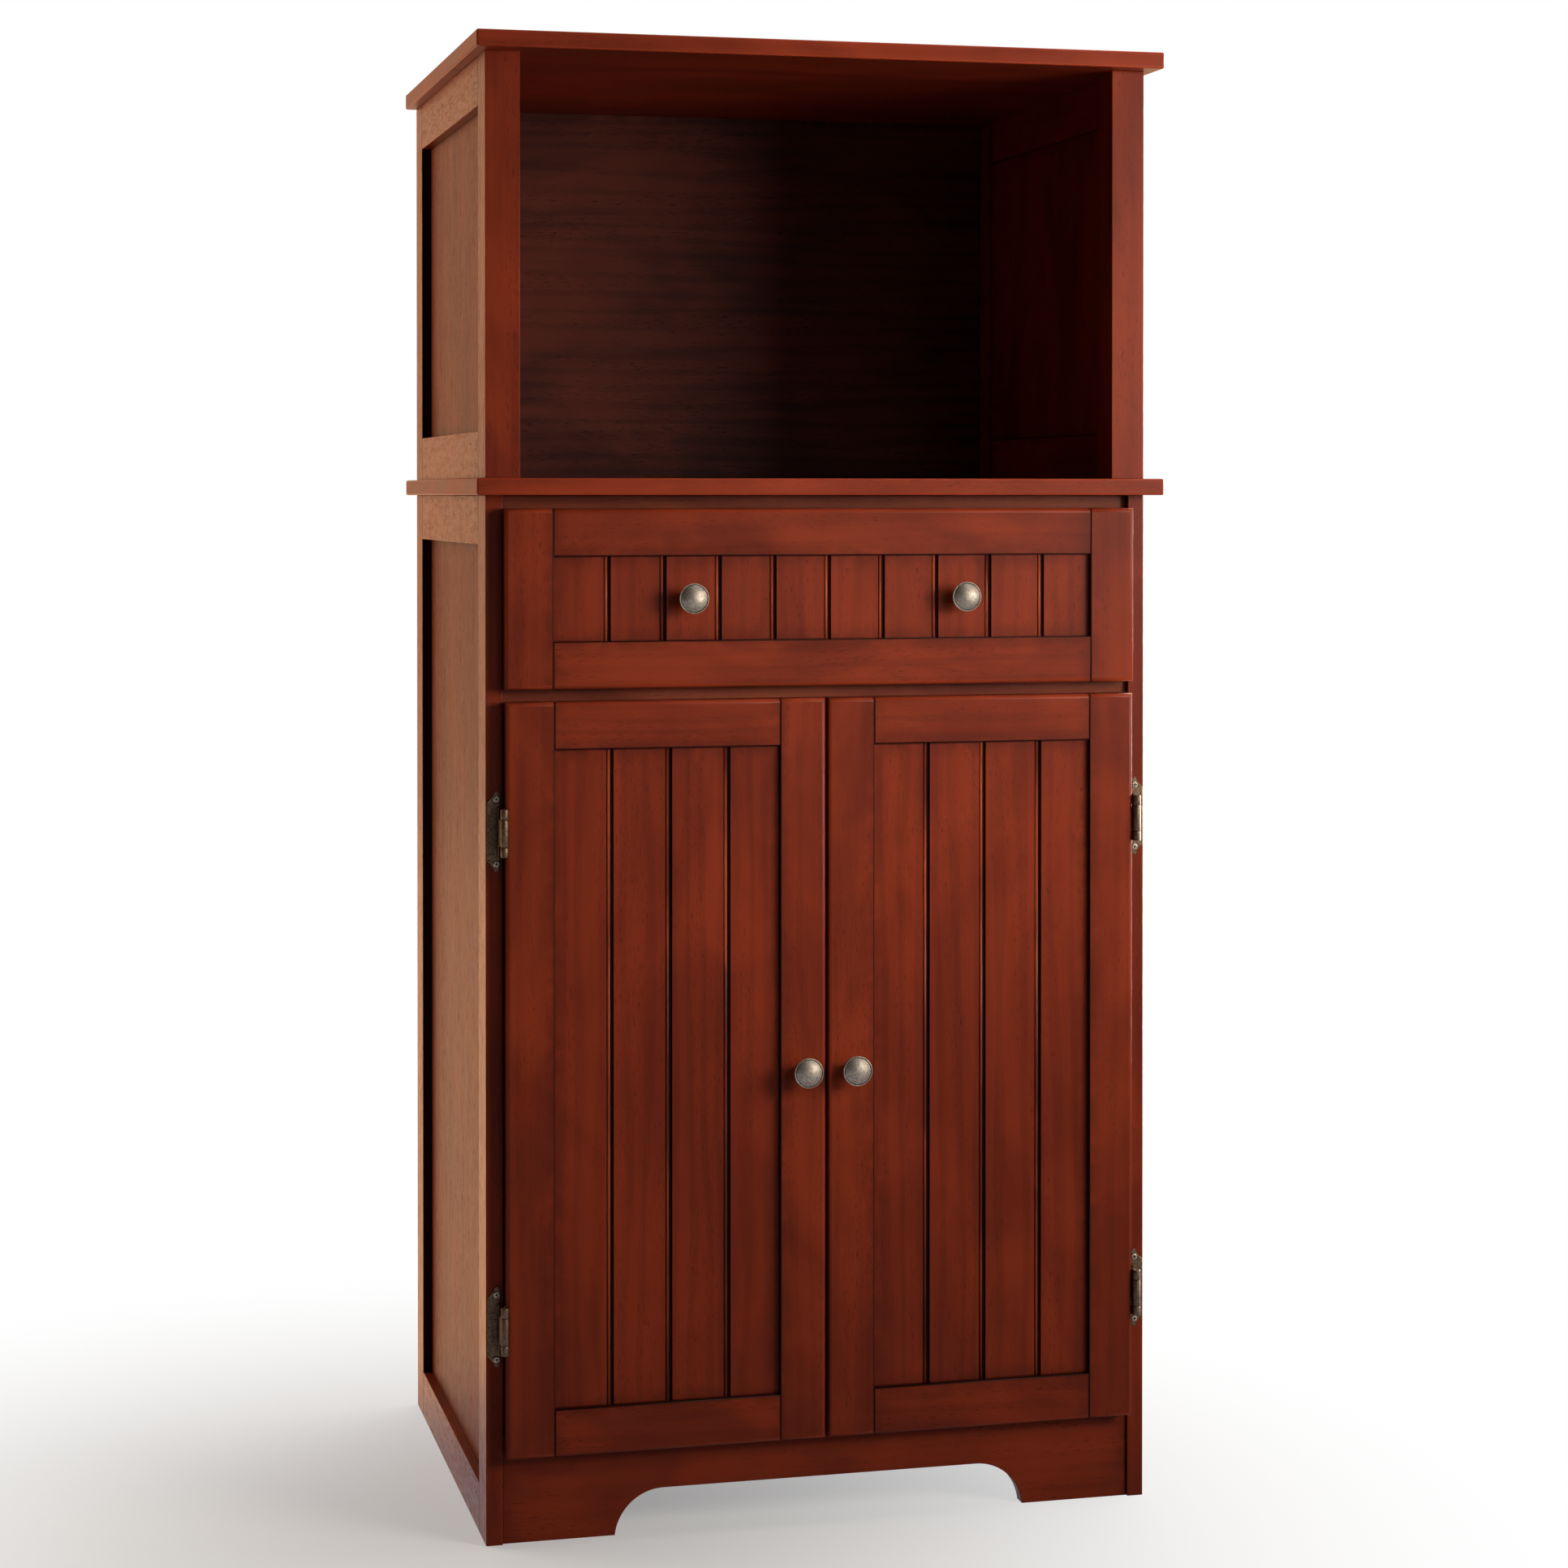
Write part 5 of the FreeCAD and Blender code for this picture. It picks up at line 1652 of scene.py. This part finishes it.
# ---------------------------------------------------------------- hinges
@dataclass
class Hinge:
    """Antique partial-wrap hinge: frame leaf, wrapped door leaf, barrel and pin."""

    hand: Hand
    finishes: Finishes
    middles: Sequence[float]
    axis_x: float
    axis_y: float
    face_y: float
    knuckle: float = 3.5 * MM
    barrel: float = 42.0 * MM
    middle_knuckle: float = 24.0 * MM
    gap: float = 0.3 * MM
    leaf: float = 1.5 * MM
    door_leaf: float = 1.2 * MM
    door_edge: float = 2.9 * MM
    leaf_reach: float = 25.0 * MM
    edge_depth: float = 12.0 * MM
    screw_from_axis: float = 4.4 * MM
    screw_spacing: float = 57.15 * MM
    door_screw_inset: float = 14.0 * MM
    door_screw_spacing: float = 26.0 * MM
    strap_depth: float = 5.5 * MM
    plate_easing: float = 0.5 * MM
    strap_easing: float = 0.35 * MM
    easing: float = 0.2 * MM
    leaf_corner: float = 3.0 * MM
    overlap: float = 0.3 * MM
    bore: float = 1.5 * MM
    softening: float = 0.35 * MM
    softening_share: float = 0.3
    steps: int = 40

    # distance outwards from the axis and half height of the plate, in millimetres
    PLATE_START = 21.0
    PLATE_END = 26.0
    PLATE = ((1.9, 22.2), (1.2, 24.4), (0.75, 26.6), (0.75, 30.2), (1.4, 31.4), (2.0, 32.2),
             (2.0, 33.4), (2.5, 34.7), (3.4, 35.5), (4.4, 35.7), (5.4, 35.5), (6.3, 34.7),
             (6.8, 33.4), (6.8, 32.2), (7.6, 31.4), (8.7, 30.6), (9.6, 29.2), (10.6, 28.0),
             (11.7, 27.0))

    def out(self, distance: float) -> float:
        """X of a plane a distance outwards from the hinge's axis."""
        return self.axis_x + self.hand.value * distance

    def build(self) -> None:
        """Build the leaves and screws of this side."""
        self.build_frame_leaves()
        self.build_door_leaves()
        self.build_screws()

    def build_frame_leaves(self) -> None:
        """Build the leaves on the carcass, each with its strap and the middle knuckle."""
        node = f"{self.hand.side}_hinge_frame_leaves"
        low, high = corners(node)
        piece = Piece(node + "_plates", Body.CARCASS, Slot.HINGES, [self.finishes.hinge], [node])
        outer = high.x if self.hand is Hand.RIGHT else low.x
        left, right = sorted((self.out(self.knuckle), self.out(self.knuckle - self.leaf)))
        for middle in self.middles:
            self.build_plate(piece, outer, middle)
            for half, front, easing in (
                    (self.barrel / 2, self.face_y - self.strap_depth, self.strap_easing),
                    (self.middle_knuckle / 2, self.axis_y, self.easing)):
                made = piece.block(at(left, front, middle - half),
                                   at(right, self.face_y, middle + half))
                piece.ease(piece.edges_of(made), easing, 2)
            half = self.middle_knuckle / 2
            self.build_knuckle(piece, middle - half, middle + half)
        piece.finish()

    def build_plate(self, piece: Piece, outer: float, middle: float) -> None:
        """Build a frame leaf: a flat plate that narrows to a finial beyond each screw.

        Args:
            piece: The piece that holds the leaves.
            outer: X of the plate's outer edge.
            middle: Height of the hinge's middle.
        """
        edge = [(self.out(self.knuckle - self.leaf), self.PLATE_START),
                *((self.out(reach * MM), height) for reach, height in self.PLATE),
                (outer, self.PLATE_END)]
        upper = [at(x, self.face_y, middle + height * MM) for x, height in edge]
        lower = [at(x, self.face_y, middle - height * MM) for x, height in reversed(edge)]
        made = piece.prism(upper + lower, at(0, -self.leaf, 0))
        rim = piece.edges_of(made, level_with(1, self.face_y - self.leaf))
        piece.ease(rim, self.plate_easing, 3)

    def build_knuckle(self, piece: Piece, bottom: float, top: float) -> None:
        """Build one knuckle of the barrel, with softened ends.

        Args:
            piece: The piece that holds the knuckle.
            bottom: Z of its lower end.
            top: Z of its upper end.
        """
        soft = self.softening
        softer = soft * self.softening_share
        length = top - bottom
        outline = [(self.bore, 0.0), (self.knuckle - soft, 0.0), (self.knuckle - softer, softer),
                   (self.knuckle, soft), (self.knuckle, length - soft),
                   (self.knuckle - softer, length - softer), (self.knuckle - soft, length),
                   (self.bore, length), (self.bore, 0.0)]
        piece.turned(outline, at(self.axis_x, self.axis_y, bottom), at(0, 0, 1), self.steps)

    def build_door_leaves(self) -> None:
        """Build the leaves that wrap round the door's edge, each with two end knuckles."""
        node = f"{self.hand.side}_door_hinge_leaves"
        piece = Piece(node + "_plates", self.hand.door, Slot.HINGES, [self.finishes.hinge],
                      [node])
        edge_in = self.out(-self.door_edge)
        edge_out = edge_in + self.hand.value * self.door_leaf
        inner = edge_in - self.hand.value * self.leaf_reach
        half, gap = self.barrel / 2, self.middle_knuckle / 2 + self.gap
        wrap = self.face_y - self.edge_depth
        edge_plates = ((wrap, self.face_y + self.door_leaf / 2, -half, half),
                       (self.axis_y, wrap + self.overlap, gap, half),
                       (self.axis_y, wrap + self.overlap, -half, -gap))
        for middle in self.middles:
            self.build_back_plate(piece, edge_out, inner, middle)
            left, right = sorted((edge_in, edge_out))
            for front, back, bottom, top in edge_plates:
                made = piece.block(at(left, front, middle + bottom),
                                   at(right, back, middle + top))
                piece.ease(piece.edges_of(made), self.easing, 2)
            self.build_knuckle(piece, middle + gap, middle + half)
            self.build_knuckle(piece, middle - half, middle - gap)
        piece.finish()

    def build_back_plate(self, piece: Piece, edge: float, inner: float, middle: float) -> None:
        """Build the plate of a door leaf on the door's back, with rounded inner corners.

        Args:
            piece: The piece that holds the leaves.
            edge: X of the plate's side at the door's edge.
            inner: X of its side towards the door's middle.
            middle: Height of the hinge's middle.
        """
        left, right = sorted((edge, inner))
        half = self.barrel / 2
        made = piece.block(at(left, self.face_y, middle - half),
                           at(right, self.face_y + self.door_leaf, middle + half))
        at_end = level_with(0, inner)
        ends = piece.edges_of(made, lambda a, b: at_end(a, b) and abs(a.z - b.z) < TOUCH)
        piece.ease(ends, self.leaf_corner, 6)

    def build_screws(self) -> None:
        """Build the screws of the door leaves; the frame's screws are built with the pins."""
        node = f"{self.hand.side}_door_leaf_screws"
        seats = self.seats(-(self.door_edge + self.door_screw_inset),
                           self.face_y + self.door_leaf, self.door_screw_spacing)
        Screws(node + "_set", node, self.hand.door, self.finishes, seats, at(0, 1, 0)).build()

    def frame_seats(self) -> list[Vector]:
        """Where the heads of the frame leaves' screws stand."""
        return self.seats(self.screw_from_axis, self.face_y - self.leaf, self.screw_spacing)

    def seats(self, distance: float, face: float, spacing: float) -> list[Vector]:
        """Place the screws of one kind of leaf.

        Args:
            distance: How far outwards from the axis they stand.
            face: Y of the face that they stand on.
            spacing: Height between two screws of a leaf.

        Returns:
            The middle of each screw's seat.
        """
        return [at(self.out(distance), face, middle + side * spacing / 2)
                for middle in self.middles for side in (1, -1)]


@dataclass
class Hinges:
    """All four hinges, their pins and the screws into the carcass."""

    finishes: Finishes
    pin: float = 1.5 * MM
    pin_half: float = 21.0 * MM
    pin_taper: float = 0.3 * MM
    pin_steps: int = 24

    END_SHARE = 0.7
    SHANK_SHARE = 0.98

    def build(self) -> None:
        """Build the hinges of both sides, then the pins and the frame's screws."""
        low, high = corners("hinge_pins")
        half = self.pin_half
        middles = (high.z - half, low.z + half)
        axis_y = low.y + self.pin
        face_y = corners("left_door_hinge_stile")[1].y
        end, shank = self.pin * self.END_SHARE, self.pin * self.SHANK_SHARE
        outline = [(0.0, -half), (end, -half), (shank, -half + self.pin_taper),
                   (shank, half - self.pin_taper), (end, half), (0.0, half)]
        seats: list[Vector] = []
        pins = Piece("hinge_pins_set", Body.CARCASS, Slot.HINGES, [self.finishes.hinge],
                     ["hinge_pins"])
        for hand in Hand:
            axis_x = low.x + self.pin if hand is Hand.LEFT else high.x - self.pin
            hinge = Hinge(hand, self.finishes, middles, axis_x, axis_y, face_y)
            hinge.build()
            seats += hinge.frame_seats()
            for middle in middles:
                pins.turned(outline, at(axis_x, axis_y, middle), at(0, 0, 1), self.pin_steps)
        pins.finish()
        Screws("frame_leaf_screws_set", "frame_leaf_screws", Body.CARCASS, self.finishes, seats,
               at(0, -1, 0)).build()


# ---------------------------------------------------------------- kept solids
@dataclass
class KeptSolid:
    """Copy of a solid's mesh with eased edges and a finish."""

    node: str
    body: Body
    slot: Slot
    material: bpy.types.Material
    grain: Grain
    easing: float = 0.4 * MM
    rub: float = 0.2

    FLAT = math.radians(1)
    SHARP = math.radians(60)

    def build(self) -> None:
        """Build the copy: doubles merged, flat faces joined and sharp edges eased."""
        piece = Piece(self.node + "_made", self.body, self.slot, [self.material], [self.node])
        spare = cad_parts[self.node].data.copy()
        spare.materials.clear()
        piece.bm.from_mesh(spare)
        bpy.data.meshes.remove(spare)
        bmesh.ops.remove_doubles(piece.bm, verts=piece.bm.verts[:], dist=DOUBLE)
        bmesh.ops.dissolve_limit(piece.bm, angle_limit=self.FLAT, verts=piece.bm.verts[:],
                                 edges=piece.bm.edges[:])
        if self.easing:
            sharp = [edge for edge in piece.bm.edges
                     if edge.is_manifold and edge.calc_face_angle(0) > self.SHARP]
            piece.ease(sharp, self.easing, 2, self.rub)
        for face in piece.bm.faces:
            face.material_index = 0
        area = Piece.stain_area(*corners(self.node), "+x-x+y-y+z-z")
        piece.mark(set(), self.grain, *area, 2)
        piece.finish()


@dataclass
class DrawerBox:
    """The drawer's box, its runners and the knobs' screws."""

    finishes: Finishes

    def build(self) -> None:
        """Build the box from its solids."""
        inner, steel = self.finishes.inner, self.finishes.steel
        for node, grain in (("drawer_box_sides", Grain.DEEP), ("drawer_box_front", Grain.ACROSS),
                            ("drawer_box_back", Grain.ACROSS), ("drawer_bottom", Grain.ACROSS)):
            KeptSolid(node, Body.DRAWER, Slot.INNER_WOOD, inner, grain).build()
        KeptSolid("drawer_runners", Body.CARCASS, Slot.INNER_WOOD, inner, Grain.DEEP, 0.0).build()
        KeptSolid("drawer_knob_screws", Body.DRAWER, Slot.STEEL, steel, Grain.DEEP, 0.0).build()


@dataclass
class Catch:
    """Magnetic catch under the middle rail, and a strike plate on each door."""

    finishes: Finishes
    easing: float = 0.3 * MM

    def build(self) -> None:
        """Build the catch, the strike plates and the knobs' screws from their solids."""
        steel = self.finishes.steel
        KeptSolid("door_catch", Body.CARCASS, Slot.CATCH, self.finishes.catch, Grain.ACROSS,
                  self.easing).build()
        for hand in Hand:
            for part, grain, easing in (("strike_plate", Grain.ACROSS, self.easing),
                                        ("knob_screw", Grain.DEEP, 0.0)):
                KeptSolid(f"{hand.side}_door_{part}", hand.door, Slot.STEEL, steel, grain,
                          easing).build()


# ---------------------------------------------------------------- fronts
@dataclass
class Drawer:
    """Drawer front with its two knobs."""

    finishes: Finishes
    pitch: float = 50.3 * MM
    planks: int = 10
    knob_reach: float = 125.75 * MM

    def build(self) -> None:
        """Build the front and the knobs."""
        BeadedFront("drawer_front", Body.DRAWER, self.finishes, "left_stile", "right_stile",
                    self.planks, self.pitch).build()
        Knobs("drawer_knobs", Body.DRAWER, self.finishes,
              (-self.knob_reach, self.knob_reach)).build()


@dataclass
class Door:
    """One door with its knob."""

    hand: Hand
    finishes: Finishes
    pitch: float = 53.05 * MM
    planks: int = 4

    def build(self) -> None:
        """Build the door's frame, planks and knob."""
        stem, body = f"{self.hand.side}_door", self.hand.door
        stiles = ("hinge_stile", "meeting_stile")
        left, right = stiles if self.hand is Hand.LEFT else stiles[::-1]
        BeadedFront(stem, body, self.finishes, left, right, self.planks, self.pitch).build()
        low, high = corners(f"{stem}_knob")
        Knobs(f"{stem}_knob", body, self.finishes, ((low.x + high.x) / 2,)).build()


# ---------------------------------------------------------------- studio
@dataclass(frozen=True)
class Lamp:
    """Soft rectangular lamp, with its power in watts and its beam's angle in degrees."""

    name: str
    place: Place
    aim: Place
    size: tuple[float, float]
    power: float
    colour: Colour
    spread: float = 180.0
    lights: bool = True
    mirrored: bool = True

    def build(self) -> None:
        """Hang the lamp, unseen by the camera."""
        data = bpy.data.lights.new(self.name, "AREA")
        data.spread = math.radians(self.spread)
        data.shape = "RECTANGLE"
        data.size, data.size_y = self.size
        data.energy = self.power
        data.color = self.colour
        lamp = bpy.data.objects.new(self.name, data)
        lamp.visible_camera = False
        lamp.visible_diffuse = self.lights
        lamp.visible_glossy = self.mirrored
        lamp.location = at(*self.place)
        beam = at(*self.aim) - at(*self.place)
        lamp.rotation_euler = beam.to_track_quat("-Z", "Y").to_euler()
        bpy.context.scene.collection.objects.link(lamp)


@dataclass
class Studio:
    """Camera, lamps, floor and background."""

    camera_at: Place = (-0.7367, -3.0266, 0.9265)
    turn: float = math.radians(13.959)
    dip: float = math.radians(0.566)
    lens: float = 74.18
    sensor: float = 36.0
    shift: float = -0.1635
    floor_size: float = 6.0
    floor_grey: Colour = (0.90, 0.89, 0.87)
    floor_bounce: Colour = (0.25, 0.24, 0.23)
    floor_sheen: Colour = (0.60, 0.60, 0.64)
    floor_warmth: float = 1.7
    shadow_middle: Place = (-0.3, -0.15, 0.0)
    warm: Colour = (0.98, 0.59, 0.34)
    room: Colour = (0.50, 0.48, 0.46)
    dark: Colour = (0.012, 0.012, 0.012)
    dim: Colour = (0.035, 0.036, 0.038)
    glow: Colour = (0.60, 0.54, 0.50)

    LAMPS = (
        Lamp("key", (1.40, -1.62, 1.15), (0.05, -0.2, 1.12), (1.0, 0.8), 11.1,
             (1.0, 0.92, 0.80), 100.0),
        Lamp("spot", (0.30, -1.65, 1.05), (0.05, -0.25, 0.66), (0.3, 0.3), 0.19,
             (1.0, 0.92, 0.80), 36.0, mirrored=False),
        Lamp("side", (2.1, 0.1, 1.3), (0.3, -0.2, 1.3), (1.3, 1.2), 3.5,
             (1.0, 0.90, 0.80), 110.0),
        Lamp("rim", (2.0, 0.9, 1.05), (0.3, -0.15, 1.05), (0.5, 2.0), 40.0,
             (1.0, 0.86, 0.78), 70.0, lights=False),
        Lamp("fill", (-1.0, -4.2, 1.4), (0.0, 0.0, 0.9), (2.4, 1.6), 2.5,
             (0.88, 0.97, 1.0), mirrored=False),
        Lamp("left", (-2.0, 1.1, 1.2), (-0.3, 0.0, 0.8), (1.2, 1.6), 15.0,
             (1.0, 0.92, 0.84), mirrored=False),
        Lamp("top", (0.7, 0.3, 3.2), (0.3, 0.1, 0.0), (2.2, 1.6), 32.0, (1.0, 0.99, 0.97)))

    def build(self) -> None:
        """Set up the whole studio."""
        bpy.context.scene.view_settings.view_transform = "Standard"
        self.build_camera()
        self.build_world()
        self.build_floor()
        for lamp in self.LAMPS:
            lamp.build()

    def build_camera(self) -> None:
        """Place the camera at the photograph's viewing angle."""
        data = bpy.data.cameras.new("camera")
        data.sensor_width = self.sensor
        data.lens = self.lens
        data.shift_y = self.shift
        camera = bpy.data.objects.new("camera", data)
        camera.location = self.camera_at
        camera.rotation_euler = (math.pi / 2 - self.dip, 0.0, -self.turn)
        bpy.context.scene.collection.objects.link(camera)
        bpy.context.scene.camera = camera

    def build_world(self) -> None:
        """White for the camera; reflections find light behind the cart and at the right."""
        world = bpy.data.worlds.new("studio")
        world.use_nodes = True
        wiring = Wiring(world.node_tree)
        world.node_tree.nodes.clear()
        parts = wiring.split(wiring.add("ShaderNodeTexCoord").outputs["Generated"])
        behind = wiring.span(parts[1], -0.15, 0.65)
        right = wiring.span(parts[0], -0.08, 0.22)
        seen = wiring.mix(behind, wiring.mix(right, self.dark, self.room), self.warm)
        lighting = wiring.mix(behind, self.dim, self.glow)
        path = wiring.add("ShaderNodeLightPath").outputs
        colour = wiring.mix(path["Is Glossy Ray"], lighting, seen)
        colour = wiring.mix(path["Is Camera Ray"], colour, WHITE)
        background = wiring.add("ShaderNodeBackground")
        wiring.feed(background.inputs["Color"], colour)
        out = wiring.add("ShaderNodeOutputWorld")
        wiring.feed(out.inputs["Surface"], background.outputs[0])
        bpy.context.scene.world = world

    def build_floor(self) -> None:
        """Lay a pale floor that fades into the white background."""
        bm = bmesh.new()
        bmesh.ops.create_grid(bm, x_segments=1, y_segments=1, size=self.floor_size)
        mesh = bpy.data.meshes.new("studio_floor")
        bm.to_mesh(mesh)
        bm.free()
        floor = bpy.data.objects.new("studio_floor", mesh)
        bpy.context.scene.collection.objects.link(floor)
        mesh.materials.append(self.floor_paper())

    def floor_paper(self) -> bpy.types.Material:
        """Make the floor's paper: it keeps the shadow, and turns white away from it.

        Returns:
            The new material.
        """
        material = bpy.data.materials.new("studio_paper")
        material.use_nodes = True
        wiring = Wiring(material.node_tree)
        shader = material.node_tree.nodes["Principled BSDF"]
        path = wiring.add("ShaderNodeLightPath").outputs
        wiring.feed(shader.inputs["Base Color"],
                    wiring.mix(path["Is Camera Ray"], self.floor_bounce, self.floor_grey))
        shader.inputs["Roughness"].default_value = 1.0
        shader.inputs["Specular IOR Level"].default_value = 0.0
        place = wiring.add("ShaderNodeTexCoord").outputs["Object"]
        away = wiring.add("ShaderNodeVectorMath", operation="LENGTH")
        wiring.feed(away.inputs[0], wiring.vector("SUBTRACT", place, self.shadow_middle))
        fade = wiring.span(away.outputs["Value"], 0.05, 1.0, 0.30, 1.0)
        depth = wiring.split(place)[1]
        mirrored = wiring.times(wiring.span(depth, 0.0, 0.5, 0.7, 1.0), path["Is Glossy Ray"])
        share = wiring.plus(wiring.times(fade, path["Is Camera Ray"]), mirrored)
        warm = tuple(part * self.floor_warmth for part in self.warm)
        reflected = wiring.mix(wiring.span(depth, 0.0, 0.5), self.floor_sheen, warm)
        glow = wiring.add("ShaderNodeEmission")
        wiring.feed(glow.inputs["Color"], wiring.mix(path["Is Camera Ray"], reflected, WHITE))
        blend = wiring.add("ShaderNodeMixShader")
        for socket, source in zip(blend.inputs, (share, shader.outputs[0], glow.outputs[0])):
            wiring.feed(socket, source)
        surface = material.node_tree.nodes["Material Output"].inputs["Surface"]
        wiring.feed(surface, blend.outputs[0])
        return material


def main() -> None:
    """Build the studio and every piece of the cart."""
    logging.basicConfig(level=logging.INFO, format="%(message)s")
    Studio().build()
    finishes = Finishes(Effects())
    Carcass(finishes).build()
    Drawer(finishes).build()
    DrawerBox(finishes).build()
    for hand in Hand:
        Door(hand, finishes).build()
    Hinges(finishes).build()
    Catch(finishes).build()


if __name__ == "__main__":
    main()
